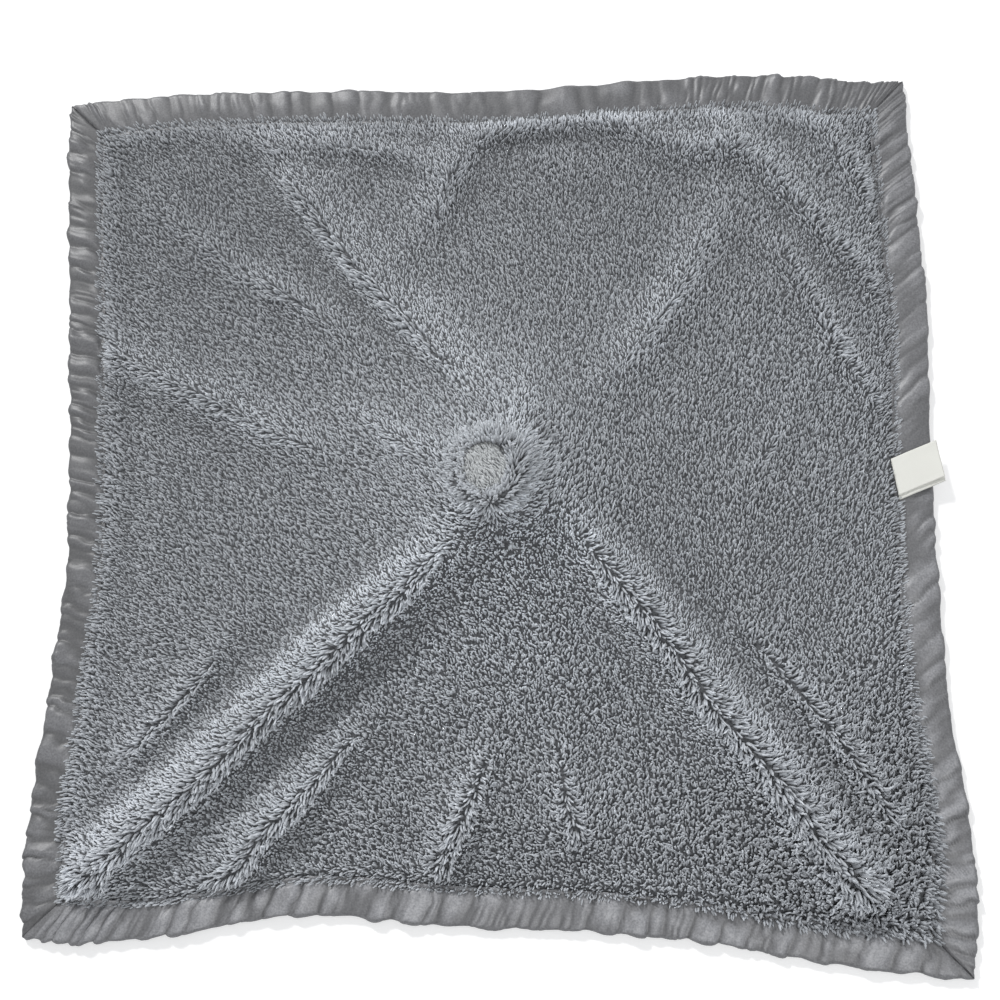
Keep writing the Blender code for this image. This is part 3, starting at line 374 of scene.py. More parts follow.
relief = {
    "hemMid": 1.85 * mm, "fieldFloor": 2.95 * mm, "peak": 52.05 * mm, "neck": 14 * mm,
    "reach": 57.72 * mm, "power": 1.05, "hemBlend": 35 * mm, "foldBlend": 9 * mm, "cell": 2 * mm,
    "half": 250 * mm, "ripples": ((1.0 * mm, 42 * mm, 5), (0.6 * mm, 17 * mm, 6)), "rippleLift": 0.6 * mm,
    "rippleFrom": 60 * mm, "rippleRamp": 50 * mm, "fall": 1.6,
    "steepFoot": {"leftArm": (1.6, 2.8), "rightArm": (2.4, 1.6), "upperLeft": (2.2, 1.6)},
    "folds": {
        "leftArm": (15.0, 11, 17, (
            (-0.05, -0.12, 0.1), (-0.11, -0.19, 0.4), (-0.18, -0.25, 0.7), (-0.26, -0.31, 0.9), (-0.37, -0.41, 1.0),
            (-0.48, -0.51, 1.0), (-0.59, -0.62, 0.9), (-0.71, -0.72, 0.8), (-0.87, -0.86, 0.6))),
        "rightArm": (14.0, 15, 12, (
            (0.12, -0.05, 0.0), (0.20, -0.14, 0.4), (0.26, -0.21, 0.75), (0.33, -0.29, 0.95), (0.39, -0.37, 1.0),
            (0.46, -0.47, 1.0), (0.55, -0.58, 0.9), (0.64, -0.70, 0.8), (0.75, -0.84, 0.6))),
        "upperLeft": (9.0, 8, 20, (
            (-0.03, 0.19, 0.3), (-0.10, 0.28, 0.7), (-0.17, 0.36, 0.9), (-0.24, 0.44, 1.0), (-0.31, 0.52, 1.0),
            (-0.38, 0.61, 0.9), (-0.45, 0.71, 0.7), (-0.51, 0.79, 0.4))),
        "left": (6.5, 9, 15, ((-0.31, 0.08, 0.2), (-0.44, 0.10, 0.8), (-0.66, 0.22, 1.0), (-0.88, 0.325, 0.9))),
        "upperLeftSmall": (4.5, 8, 10, (
            (-0.25, 0.30, 0.3), (-0.44, 0.44, 1.0), (-0.61, 0.55, 1.0), (-0.80, 0.70, 0.5))),
        "patchLeft": (4.0, 8, 8, (
            (-0.34, 0.19, 0.3), (-0.25, 0.13, 1.0), (-0.18, 0.07, 1.0), (-0.12, 0.04, 0.4))),
        "arch": (6.5, 16, 8, (
            (-0.17, 0.57, 0.3), (-0.13, 0.66, 0.7), (-0.09, 0.76, 0.9), (-0.05, 0.84, 1.0), (0.05, 0.89, 1.0),
            (0.19, 0.91, 1.0), (0.30, 0.88, 1.0), (0.39, 0.83, 1.0), (0.49, 0.81, 1.0), (0.57, 0.81, 1.0),
            (0.65, 0.73, 1.0), (0.73, 0.63, 0.9), (0.80, 0.55, 0.8), (0.88, 0.44, 0.4))),
        "spur": (4.0, 7, 7, ((0.50, 0.92, 0.6), (0.53, 0.87, 1.0), (0.57, 0.81, 0.4))),
        "corner": (5.5, 9, 9, ((0.70, 0.94, 0.5), (0.79, 0.82, 1.0), (0.89, 0.67, 0.7))),
        "right": (4.5, 8, 8, (
            (0.61, 0.63, 0.4), (0.67, 0.53, 1.0), (0.73, 0.42, 1.0), (0.78, 0.32, 1.0), (0.86, 0.19, 0.6))),
        "upperRight": (6.0, 13, 11, (
            (0.23, 0.20, 0.3), (0.30, 0.28, 0.8), (0.36, 0.37, 1.0), (0.42, 0.46, 1.0), (0.47, 0.56, 0.9),
            (0.53, 0.69, 0.5))),
        "lowerLeftSmall": (5.0, 7, 11, ((-0.54, -0.28, 0.3), (-0.65, -0.44, 1.0), (-0.78, -0.58, 0.8))),
        "lower": (7.0, 8, 13, (
            (-0.25, -0.50, 0.2), (-0.32, -0.58, 0.7), (-0.40, -0.67, 1.0), (-0.48, -0.75, 1.0),
            (-0.56, -0.86, 0.9))),
        "bottomMiddle": (5.0, 7, 11, ((0.02, -0.54, 0.3), (-0.03, -0.65, 1.0), (-0.10, -0.81, 0.9))),
        "bottomShort": (4.0, 8, 8, ((0.14, -0.54, 0.4), (0.155, -0.63, 1.0), (0.18, -0.75, 0.8))),
        "lowerRightSmall": (4.5, 10, 6, (
            (0.53, -0.30, 0.4), (0.65, -0.44, 1.0), (0.75, -0.57, 1.0), (0.84, -0.71, 0.7))),
        "topShelf": (5.0, 11, 6, (
            (-0.62, 0.84, 0.5), (-0.38, 0.84, 1.0), (-0.22, 0.81, 1.0), (-0.12, 0.76, 0.4))),
        "rightThin": (2.0, 6, 6, (
            (0.77, 0.35, 0.6), (0.68, 0.20, 1.0), (0.58, 0.04, 1.0), (0.50, -0.20, 0.5))),
        "neckCrest": (3.5, 9, 9, (
            (0.02, -0.07, 0.4), (0.055, -0.02, 0.9), (0.07, 0.05, 1.0), (0.07, 0.12, 1.0), (0.08, 0.20, 0.7),
            (0.09, 0.28, 0.3))),
    },
}


def foldBell(x, y, name):
    # A bell across the fold's route, exp(-(distance / width)^fall), times the share of the height at the
    # nearest stretch; the width and the fall can differ to the left and to the right of the route.
    height, leftWidth, rightWidth, route = relief["folds"][name]
    falls = relief["steepFoot"].get(name, (relief["fall"], relief["fall"]))
    line = smoothLine(np.array(route) * (halfSide, halfSide, 1), 28)
    best = np.zeros_like(x)
    for (x0, y0, h0), (x1, y1, h1) in zip(line, line[1:]):
        dx, dy = x1 - x0, y1 - y0
        t = np.clip(((x - x0) * dx + (y - y0) * dy) / (dx * dx + dy * dy), 0, 1)
        ax, ay = x - x0 - dx * t, y - y0 - dy * t
        left = dx * ay - dy * ax > 0
        away = np.hypot(ax, ay) / (np.where(left, leftWidth, rightWidth) * mm)
        best = np.maximum(best, blendOf(h0, h1, t) * np.exp(-away ** np.where(left, *falls)))
    return best * height * mm


def softened(field, passes):
    # Averages each point with its neighbours by 1, 2, 1 along both ways, several times over.
    for _ in range(passes):
        for axis in (0, 1):
            field = (np.roll(field, 1, axis) + 2 * field + np.roll(field, -1, axis)) / 4
    return field


def makeRelief():
    # Height of the surface between the panels: the tent falls away from the neck as
    # exp(-((r - neck) / reach)^power), low ripples and the folds stand on it, and all die away to the hem.
    steps = int(round(relief["half"] / relief["cell"]))
    line = np.arange(-steps, steps + 1) * relief["cell"]
    x, y = np.meshgrid(line, line, indexing="ij")
    past = np.maximum(np.hypot(x, y) - relief["neck"], 0) / relief["reach"]
    tent = relief["fieldFloor"] + (relief["peak"] - relief["fieldFloor"]) * np.exp(-past ** relief["power"])
    folds = softened(sum(foldBell(x, y, name) for name in relief["folds"]), 2)
    ripple = sum(high * latticeNoise(x, y, cell, seed) for high, cell, seed in relief["ripples"])
    ripple = (ripple + relief["rippleLift"]) * ease((np.hypot(x, y) - relief["rippleFrom"]) / relief["rippleRamp"])
    inset = insetOf(x, y) - blanket["binding"]
    lift = ease(inset / relief["hemBlend"])
    folds *= ease(inset / relief["foldBlend"] + 0.1)
    return line, blendOf(relief["hemMid"], tent + ripple, lift) + folds, folds


reliefLine, reliefHeight, foldField = makeRelief()
reliefSlope = np.gradient(reliefHeight, relief["cell"])


opening = {"crestFrom": 16, "crestRamp": 95, "hollowFrom": 8, "hollowRamp": 60, "star": (13 * mm, 10 * mm),
           "starReach": 20 * mm, "starShare": 0.6}


def makeSplay():
    # How far the pile opens, from 0 on flat and hollow ground to 1 on a sharp crest, and how far it closes in
    # the hollows. Both follow the sum of the relief's second slopes, in 1/m; the pile also opens in a star
    # round the crest beside the patch.
    bend = -sum(np.gradient(slope, relief["cell"], axis=axis) for axis, slope in enumerate(reliefSlope))
    bend = softened(bend, 3)
    x, y = np.meshgrid(reliefLine, reliefLine, indexing="ij")
    star = np.exp(-((x - opening["star"][0]) ** 2 + (y - opening["star"][1]) ** 2) / opening["starReach"] ** 2)
    opened = ease((bend - opening["crestFrom"]) / opening["crestRamp"]) + opening["starShare"] * star
    return np.clip(opened, 0, 1), ease((-bend - opening["hollowFrom"]) / opening["hollowRamp"])


splayField, hollowField = makeSplay()


def readGrid(field, x, y):
    # Reads a field of the relief at any places, evenly between its four nearest grid points.
    gx = np.clip((x - reliefLine[0]) / relief["cell"], 0, len(reliefLine) - 1.001)
    gy = np.clip((y - reliefLine[0]) / relief["cell"], 0, len(reliefLine) - 1.001)
    ix, iy = gx.astype(int), gy.astype(int)
    fx, fy = gx - ix, gy - iy
    near = blendOf(field[ix, iy], field[ix + 1, iy], fx)
    return blendOf(near, blendOf(field[ix, iy + 1], field[ix + 1, iy + 1], fx), fy)


def reliefNormal(x, y):
    # The surface's way up: its slopes turned about.
    slopes = [readGrid(slope, x, y) for slope in reliefSlope]
    return unit(place3(-slopes[0], -slopes[1], 1.0))


def inCorner(x, y):
    # From 0 to 1 into the lower right corner, where the photograph's pile is longest and most tousled.
    return ease((x - 60 * mm) / (110 * mm)) * ease((-60 * mm - y) / (110 * mm))


# Painted light and shade on the pile: the weights, places and reaches of each term of the factor below.
paintedLight = {
    "foldTop": 6 * mm, "fold": 0.28, "looks": (-0.24, 0.97), "fullSlope": 0.6, "facing": 0.42, "onFlat": 0.25,
    "neck": 0.15, "neckAt": (10 * mm, 10 * mm), "neckReach": 75 * mm,
    "below": 0.32, "belowAt": (10 * mm, -62 * mm), "belowReach": (60 * mm, 52 * mm),
    "beside": 1.2, "besideAt": (18 * mm, -27 * mm), "besideReach": 24 * mm,
    "perMetre": (0.45, -0.65), "corner": -0.30,
}


def paintedPileLight(x, y, normal):
    # Painted light and shade on the pile, as a factor on its colour: painted light on the folds' tops, most on
    # the flanks that look up and to the left, towards the key lamp, round the neck, in the field below it and
    # beside it, where the tent faces away from the lamp, and a little towards the lower right, and painted
    # shade in that corner.
    fold = ease(readGrid(foldField, x, y) / paintedLight["foldTop"])
    facing = ease((normal[:, :2] * paintedLight["looks"]).sum(1) / paintedLight["fullSlope"])
    neck = hump(np.hypot(x - paintedLight["neckAt"][0], y - paintedLight["neckAt"][1]), paintedLight["neckReach"])
    below = hump(x - paintedLight["belowAt"][0], paintedLight["belowReach"][0]) * hump(y - paintedLight["belowAt"][1], paintedLight["belowReach"][1])
    below += paintedLight["beside"] * hump(np.hypot(x - paintedLight["besideAt"][0], y - paintedLight["besideAt"][1]), paintedLight["besideReach"])
    facing *= paintedLight["facing"] * blendOf(paintedLight["onFlat"], 1, fold)
    side = paintedLight["perMetre"][0] * x + paintedLight["perMetre"][1] * y + paintedLight["corner"] * inCorner(x, y)
    return 1 + paintedLight["fold"] * fold + facing + paintedLight["neck"] * neck + paintedLight["below"] * below + side


print("relief is ready")


# The two panels

panels = {"backGrid": (88, 64), "frontGrid": (124, 86), "ground": 0.9 * mm, "edgeInset": 8 * mm,
          "apart": 0.15 * mm, "bed": 2.6 * mm, "bedRamp": 3 * mm, "liningDepth": 2.3 * mm, "liningRamp": 35 * mm}


def bedTop(x, y, inset):
    # The ground cloth and the matted foot of the pile: thin in the binding, thick in the field, and thinner
    # where the pile opens.
    deep = ease((inset - blanket["binding"] - 0.3 * mm) / panels["bedRamp"])
    neck = np.exp(-np.maximum(np.hypot(x, y) - 15 * mm, 0) / (6 * mm))
    open = np.clip(0.5 * readGrid(splayField, x, y) - 0.5 * neck, 0, 1)
    bed = panels["bed"] * (1 - open) + 0.3 * mm * latticeNoise(x, y, 5 * mm, 22)
    return panels["apart"] + panels["ground"] + bed * deep


def panelSkin(grid, offsetAt):
    # A skin of the blanket: rings from the neck hole out to the fabric's cut edge under the binding, closer
    # together near the binding. The grid gives its points along each edge and its rings.
    shares = np.linspace(0, 1, grid[0], endpoint=False)
    hem = np.concatenate([edgeCurve(edge, shares) for edge in range(4)])
    ringShare = 1 - (1 - np.linspace(0, 1, grid[1])) ** 1.35
    inset = blendOf(openField, panels["edgeInset"], ringShare)
    places = planPoints(hem[None, :, :], inset[:, None] * np.ones((1, len(hem))))
    height = readGrid(reliefHeight, places[..., 0], places[..., 1]) + offsetAt(places, inset[:, None])
    return np.concatenate([places, height[..., None]], -1)


def liningUnder(places, inset):
    # The lining's plush is thin within the binding; its pile gives it a low, nubbly surface in the field.
    ramp = ease((inset - blanket["binding"]) / panels["liningRamp"])
    nub = 0.4 * mm * latticeNoise(places[..., 0], places[..., 1], 4.6 * mm, 21) * ramp
    return -panels["apart"] - blendOf(panels["ground"], panels["liningDepth"], ramp) + nub


def makePanel(side, under, over, finish):
    # Two skins over each other, joined along the cut edge and round the neck hole.
    grid = panels[side + "Grid"]
    points = np.concatenate([panelSkin(grid, under), panelSkin(grid, over)[::-1]])
    faces = gridFaces(*points.shape[:2], closedRows=True, closedColumns=True)
    return newPiece(side + "_cloth", points, [faces], finish, "blanket", [side + "_panel"])


backCloth = makePanel("back", lambda p, inset: panels["apart"],
                      lambda p, inset: bedTop(p[..., 0], p[..., 1], inset), groundCloth)
frontCloth = makePanel("front", liningUnder, lambda p, inset: -panels["apart"], liningCloth)
print("panels are made")


# Pile: tufts that stand in the cloth

label = {"length": 22.5 * mm, "width": 18.5 * mm, "thickness": 0.35 * mm, "slant": 9.5, "skew": 0.21,
         "edgeShare": 0.486, "curl": 1.6 * mm, "backShift": 2 * mm, "root": 5.2 * mm, "crest": 6.9 * mm}
labelSeam = planPoints(edgeCurve(1, np.array([label["edgeShare"]])), np.array([blanket["binding"]]))[0]
labelSlant = math.radians(label["slant"])
labelOut = np.array([math.cos(labelSlant), math.sin(labelSlant)])
labelAside = np.array([-math.sin(labelSlant), math.cos(labelSlant)])

pile = {
    "spacing": 1.31 * mm, "jitter": 0.42, "seed": 11, "flat": 0.72, "foot": 0.9 * mm, "lock": 2.0 * mm,
    "short": 3.5 * mm, "long": 5.7 * mm, "shortRadius": 0.56 * mm, "longRadius": 0.66 * mm, "split": 0.3,
    "shortShape": ((0.0, 0.52, 1.0), (0.0, 1.0, 0.55)),
    "longShape": ((0.0, 0.38, 0.78, 1.0), (0.0, 1.0, 0.9, 0.45)),
    "crest": ((5, 9), (13, 14), (14, 6), (13, -2), (9, -10), (3, -13), (-2, -8)), "crestReach": 17 * mm,
    "overSeam": 2.6 * mm, "onSatin": 1.0 * mm, "pieces": (7, 5),
}


def tufts(name, root, ways, length, radius, across, shape, finish, body, stands, shadeAndTone):
    # Tufts of pile, each a blunt three-sided bar that sets out along its first way and bends to its second:
    # root + length * (first * (t - t^2 / 2) + second * t^2 / 2). Its root, in the cloth, is a single point.
    t = np.array(shape[0])
    bend = (t * t / 2)[None, :, None]
    first, second = ways
    way = first[:, None] * (t[None, :, None] - bend) + second[:, None] * bend
    centre = root[:, None] + length[:, None, None] * way
    rings = bars(centre, radius[:, None] * np.array(shape[1]), across, 3, pile["flat"])[0]
    points = np.concatenate([centre[:, :1], rings[:, 1:].reshape(len(root), -1, 3)], 1)
    near, next = np.array([1, 2, 3]), np.array([2, 3, 1])
    rise = 3 * np.arange(len(t) - 2)[:, None]
    walls = np.stack([rise + near, rise + next, rise + next + 3, rise + near + 3], -1).reshape(-1, 4)
    ends = np.concatenate([np.stack([0 * near, next, near], -1), [near + 3 * (len(t) - 2)]])
    base = np.arange(len(root))[:, None, None] * points.shape[1]
    marks = {"along": np.broadcast_to(np.concatenate([t[:1], np.repeat(t[1:], 3)]), points.shape[:2]),
             "shade": np.broadcast_to(shadeAndTone[:, None], points.shape[:2])}
    faces = [(base + walls).reshape(-1, 4), (base + ends).reshape(-1, 3)]
    return newPiece(name, points, faces, finish, body, stands, marks)


def scatter(spacing, jitter, seed):
    # Places on a staggered lattice over the blanket and just over the binding's seam, each moved a little;
    # steep ground and the neck get more of them, and none stand under the label. Which ones are left out
    # follows an even sequence over the lattice, so that few gaps touch.
    rng = np.random.default_rng(seed)
    tight = spacing / 1.1
    line = np.arange(-0.24, 0.24, tight)
    x, y = np.meshgrid(line, line * 0.866, indexing="ij")
    x = x + tight / 2 * (np.arange(len(line)) % 2)[None, :]
    x = (x + rng.uniform(-jitter, jitter, x.shape) * tight).ravel()
    y = (y + rng.uniform(-jitter, jitter, y.shape) * tight).ravel()
    thin = 0.2 * readGrid(splayField, x, y) * (np.hypot(x - 8 * mm, y) > 25 * mm)
    k = np.arange(len(line))
    turn = (0.7548777 * k[:, None] + 0.5698403 * k[None, :]).ravel() % 1
    keep = turn < (1 - thin) / reliefNormal(x, y)[:, 2] / 1.21
    inset = insetOf(x, y)
    keep &= (inset > blanket["binding"] - pile["overSeam"]) & (np.hypot(x, y) > 17 * mm)
    fromSeam = np.stack([x, y], -1) - labelSeam
    keep &= ~((fromSeam @ labelOut > -2.2 * mm) & (abs(fromSeam @ labelAside) < label["width"] / 2 + 1 * mm))
    return x[keep], y[keep], inset[keep], rng


def lockPull(x, y):
    # Slope of a fine noise: the tips of the pile lean up it, and gather in locks with partings between.
    cell, step = pile["lock"], pile["lock"] / 10
    rise = [latticeNoise(x + dx, y + dy, cell, 34) - latticeNoise(x - dx, y - dy, cell, 34)
            for dx, dy in ((step, 0), (0, step))]
    return np.stack([*rise, np.zeros_like(x)], -1) * 5, latticeNoise(x, y, cell, 34)


def fromCrest(x, y):
    # The way from the crest that runs past the patch, and how near it is, from 1 on it to 0 far off. On the
    # crest itself the strands lie along it, so that they cover its parting.
    line = smoothLine(np.array(pile["crest"]) * mm, 40)
    gap = np.stack([x, y], -1)[:, None, :] - line
    nearest = gap[np.arange(len(x)), np.linalg.norm(gap, axis=2).argmin(1)]
    distance = np.linalg.norm(nearest, axis=1)
    away = unit(unit(nearest) * ease(distance / (6 * mm))[:, None] + (0.25, 0.6))
    return np.concatenate([away, np.zeros((len(x), 1))], 1), np.exp(-(distance / pile["crestReach"]) ** 2)


def napWays(x, y, normal, outward, splay, rng, swirl):
    # The nap turns from up and left at the left edge to straight up near the right one, with broad and fine
    # swirls. On crests it parts and runs outwards and downhill, and by the patch it runs away from its crest.
    turn = np.radians(113 - 36 * x / halfSide - 11 * y / halfSide)
    turn += swirl * (0.30 * latticeNoise(x, y, 38 * mm, 31) + 0.25 * latticeNoise(x, y, 11 * mm, 32)
                     + 0.40 * latticeNoise(x, y, 2.8 * mm, 33) + 0.38 * rng.standard_normal(len(x)))
    nap = np.stack([np.cos(turn), np.sin(turn), np.zeros_like(turn)], -1)
    downhill = normal * (1, 1, 0) / np.maximum(np.hypot(normal[:, 0], normal[:, 1]), 0.12)[:, None]
    nap = unit(blendOf(nap, unit(outward + 0.9 * downhill + 0.5 * nap), ease(splay * 1.4)[:, None]))
    away, near = fromCrest(x, y)
    nap = blendOf(nap, away, near[:, None])
    return nap - normal * (nap * normal).sum(-1, keepdims=True)


def makePile():
    x, y, inset, rng = scatter(pile["spacing"], pile["jitter"], pile["seed"])
    normal = reliefNormal(x, y)
    corner = ease((x - 60 * mm) / (110 * mm)) * ease((-60 * mm - y) / (110 * mm))
    bottom = ease((-20 * mm - y) / (150 * mm))
    rough = ease((-15 * mm - y) / (90 * mm)) * ease((x + 110 * mm) / (70 * mm))
    hollow = readGrid(hollowField, x, y)
    outward = unit(np.stack([x, y, np.zeros_like(x)], -1))
    overSatin = 0.95 + 0.45 * np.maximum(outward[:, 1], 0) - 0.30 * np.maximum(-outward[:, 1], 0)
    overSatin *= 1 + 0.5 * latticeNoise(x, y, 4 * mm, 36) + 0.7 * corner
    nearHem = (1 - ease((inset - blanket["binding"]) / (7 * mm))) * overSatin
    crest = readGrid(splayField, x, y)
    nap = napWays(x, y, normal, outward, crest, rng, 0.55 + 0.7 * rough + 1.0 * corner)
    parting = fromCrest(x, y)[1] ** 25
    fromHem = inset - blanket["binding"]
    upper = ease(0.5 + (y - x) / (120 * mm))
    ridge = np.exp(-((fromHem - 5 * mm) / (5 * mm)) ** 2) * upper
    flank = ease(readGrid(foldField, x, y) / (5 * mm)) * ease((normal[:, 1] + 0.02) / 0.3)
    splay = np.clip(crest * (1 - 0.8 * flank) + 0.15 * nearHem + 0.35 * corner + 0.3 * ridge, 0, 1)
    pull, lock = lockPull(x, y)
    loose = rng.standard_normal((len(x), 3))
    stand = 0.50 - 0.10 * hollow + 0.24 * rough + 0.15 * corner + 0.9 * parting - 0.2 * flank
    stand = (stand + 0.16 * rng.standard_normal(len(x)))[:, None]
    first = unit(normal + nap * 0.40 + loose * 0.10 + outward * (nearHem * 0.5)[:, None])
    pull *= (0.42 + 0.22 * splay + 0.5 * corner)[:, None]
    second = unit(normal * stand + nap + loose[:, ::-1] * 0.16 + pull + outward * (nearHem * 1.9)[:, None])
    coarse = 0.92 + 0.16 * bottom + 0.20 * corner + 0.06 * latticeNoise(x, y, 30 * mm, 35)
    length = blendOf(pile["short"], pile["long"], splay) * coarse * (1 + 0.14 * lock) * (1 - 0.2 * hollow)
    length *= (1 + 0.17 * rng.standard_normal(len(x))).clip(0.5, 1.5) * (1 - 0.12 * flank)
    radius = blendOf(pile["shortRadius"], pile["longRadius"], splay) * coarse * (1 - 0.10 * flank)
    radius *= (1 + 0.14 * rng.standard_normal(len(x))).clip(0.6, 1.5)
    height = readGrid(reliefHeight, x, y) + bedTop(x, y, inset)
    height += pile["onSatin"] * (1 - ease((fromHem + 1 * mm) / (2 * mm)))
    root = np.stack([x, y, height], -1) - first * pile["foot"]
    across = unit(np.cross(second, normal) + 0.35 * loose)
    valley = np.exp(-((fromHem - 14 * mm) / (5 * mm)) ** 2) * upper
    # The colour factor of each tuft: painted shade in the hollows and in the valley inside the top and left hem,
    # painted light on the ridge along that hem, painted light on the tops of the locks and painted shade between
    # them, chance tone at random, and the pile's painted light and shade.
    shadeAndTone = 1 - 0.10 * hollow + 0.10 * ridge - 0.12 * valley + (0.07 + 0.06 * splay) * lock
    shadeAndTone += 0.04 * latticeNoise(x, y, 60 * mm, 41) + (0.13 - 0.06 * flank) * rng.standard_normal(len(x))
    shadeAndTone *= paintedPileLight(x, y, normal)
    order = np.argsort(np.arctan2(y, x))
    made = []
    for kind, sides in (("short", splay[order] < pile["split"]), ("long", splay[order] >= pile["split"])):
        count = pile["pieces"][kind == "long"]
        for number, k in enumerate(np.array_split(order[sides], count), 1):
            made.append(tufts(f"pile_{kind}_{number}", root[k], (first[k], second[k]), length[k], radius[k],
                              across[k], pile[kind + "Shape"], longPlush, "blanket",
                              ["back_panel"], shadeAndTone[k]))
        print("tufts of", kind, "pile:", int(sides.sum()))
    return made


pilePieces = makePile()


# The neck's rim: the back panel is gathered up in a soft roll round the patch, highest beside the star

rim = {
    "inner": ((0, 9.6), (30, 10.2), (50, 11.8), (72, 13.4), (90, 13.6), (112, 13.2), (138, 12.0), (160, 11.4),
              (185, 11.2), (212, 11.4), (240, 11.6), (270, 11.6), (300, 11.0), (330, 10.0)),
    "top": ((0, 59.6), (45, 59.8), (75, 59.0), (105, 58.6), (135, 57.3), (180, 56.7), (225, 56.6), (270, 57.0),
            (315, 58.4)),
    "lip": ((40, 0), (65, 1), (105, 1), (125, 0)),
    "pile": ((0, 5.6), (60, 5.6), (95, 3.6), (135, 3.0), (180, 2.8), (225, 2.9), (270, 3.2), (315, 4.4)),
    "turns": 96, "around": 30, "tufts": 2000, "radius": 0.62 * mm, "seed": 61,
}


def rimSection(angle):
    # The roll's closed outline at each angle, in the plane through the neck's middle: from its edge over the
    # patch, over the top, down to the blanket and back up outside the head's collar.
    count = len(angle)
    ring = [np.interp(np.degrees(angle) % 360, *zip(*rim[key]), period=360) * mm
            for key in ("inner", "top", "lip")]
    inner, top, lip = (np.convolve(np.tile(v, 3), np.hanning(11) / 5, "same")[count:2 * count] for v in ring)
    fixed = np.ones_like(inner) * mm
    edge = np.minimum(57.0 * mm, top - 0.35 * mm)
    line = np.array([(inner, edge + 0.6 * lip), (inner - 0.5 * mm - 1.5 * lip, edge + 0.4 * mm + 0.9 * lip),
                     (inner + 0.9 * mm - lip, np.maximum(top - 0.5 * mm, edge + 0.5 * mm)),
                     (inner * 0.45 + 8.2 * mm, top), (16.3 * fixed, top * 0.7 + 16.6 * mm),
                     (18.6 * fixed, 53.2 * fixed),
                     (21.4 * fixed, 50.0 * fixed), (17.0 * fixed, 50.2 * fixed), (14.8 * fixed, 52.6 * fixed),
                     (14.6 * fixed, 56.3 * fixed), (13.5 * fixed, 56.9 * fixed)])
    return np.moveaxis(line, 2, 0)


def makeRim():
    turns, around = rim["turns"], rim["around"]
    angle = np.linspace(0, 2 * np.pi, turns, endpoint=False)
    section = rimSection(angle)
    corners = section.shape[1]
    smooth = np.stack([smoothLine(np.concatenate([s[-2:], s, s[:3]]), (corners + 4) * 6 + 1)[12:12 + corners * 6]
                       for s in section])
    smooth = smooth[:, np.linspace(0, corners * 6, around, endpoint=False).astype(int)]
    out = np.stack([np.cos(angle), np.sin(angle)], -1)[:, None, :]
    points = np.concatenate([smooth[..., :1] * out, smooth[..., 1:]], -1)
    faces = gridFaces(turns, around, closedRows=True, closedColumns=True)[:, ::-1]
    roll = newPiece("neck_roll", points, [faces], groundCloth, "blanket", ["back_panel"])
    rng = np.random.default_rng(rim["seed"])
    turn = rng.uniform(0, turns, rim["tufts"])
    place = (0.04 + 0.57 * rng.random(rim["tufts"]) ** 0.7) * around
    i, j = turn.astype(int), place.astype(int)
    fi, fj = (turn - i)[:, None], (place - j)[:, None]
    i2, j2 = (i + 1) % turns, (j + 1) % around
    root = blendOf(blendOf(points[i, j], points[i2, j], fi), blendOf(points[i, j2], points[i2, j2], fi), fj)
    normal = unit(np.cross(points[i, j2] - points[i, j], points[i2, j] - points[i, j]))
    normal *= np.sign((normal * (root - (0, 0, 52 * mm))).sum(-1, keepdims=True))
    away, near = fromCrest(root[:, 0], root[:, 1])
    outward = unit(root * (1, 1, 0))
    away = blendOf(outward, away, near[:, None])
    splay = readGrid(splayField, root[:, 0], root[:, 1])
    nap = napWays(root[:, 0], root[:, 1], normal, outward, splay, rng, 0.55)
    away = blendOf(away, nap, ease((np.hypot(root[:, 0], root[:, 1]) - 15 * mm) / (4 * mm))[:, None])
    loose = rng.standard_normal((len(root), 3))
    first = unit(normal + 0.2 * away + 0.12 * loose)
    second = unit(0.3 * normal + away + 0.18 * loose)
    inside = ease((12.5 * mm - np.hypot(root[:, 0], root[:, 1])) / (3 * mm))[:, None]
    second = unit(blendOf(second, unit(0.5 * normal - 0.6 * outward + 0.2 * loose), 0.6 * inside))
    reach = np.interp(turn * 360 / turns, *zip(*rim["pile"]), period=360) * mm
    length = reach * (1 + 0.16 * rng.standard_normal(len(root))).clip(0.6, 1.4) * (1 - 0.35 * inside[:, 0])
    radius = rim["radius"] * (1 + 0.12 * rng.standard_normal(len(root))).clip(0.7, 1.3)
    # The neck's pile carries painted light round the neck: its colour factor is 1.17, with chance tone at random.
    return roll, tufts("neck_pile", root - first * 0.6 * mm, (first, second), length, radius,
                       unit(np.cross(second, normal) + 0.3 * loose), pile["longShape"], longPlush, "blanket",
                       ["back_panel"], 1.17 + 0.13 * rng.standard_normal(len(root)))


rimPieces = makeRim()
print("neck's rim is made")


# The satin binding: four gathered strips, folded over the panels' edges

satin = {
    "stations": 660, "thickness": 0.4 * mm, "leafTop": 3.75 * mm, "puff": 0.6 * mm, "stitchInset": 17.6 * mm,
    "innerInset": 19.8 * mm, "foldReach": 1.6 * mm, "mitreGap": 0.5 * mm, "scallop": 1.0 * mm, "seed": 51,
    # The last number but one of each strip scales its colour as painted light and shade: below 1 on the left strip,
    # above 1 along the bottom and the right.
    "strips": {
        "satin_top": {"gathers": 52, "shear": -0.2, "height": 1.2, "paintedLight": 1.02, "quiet": -1},
        "satin_right": {"gathers": 44, "shear": -0.6, "height": 2.0, "paintedLight": 1.15, "quiet": 0.486},
        "satin_bottom": {"gathers": 46, "shear": 0.2, "height": 2.1, "paintedLight": 1.2, "quiet": -1},
        "satin_left": {"gathers": 50, "shear": 0.25, "height": 1.9, "paintedLight": 0.72, "quiet": -1},
    },
}


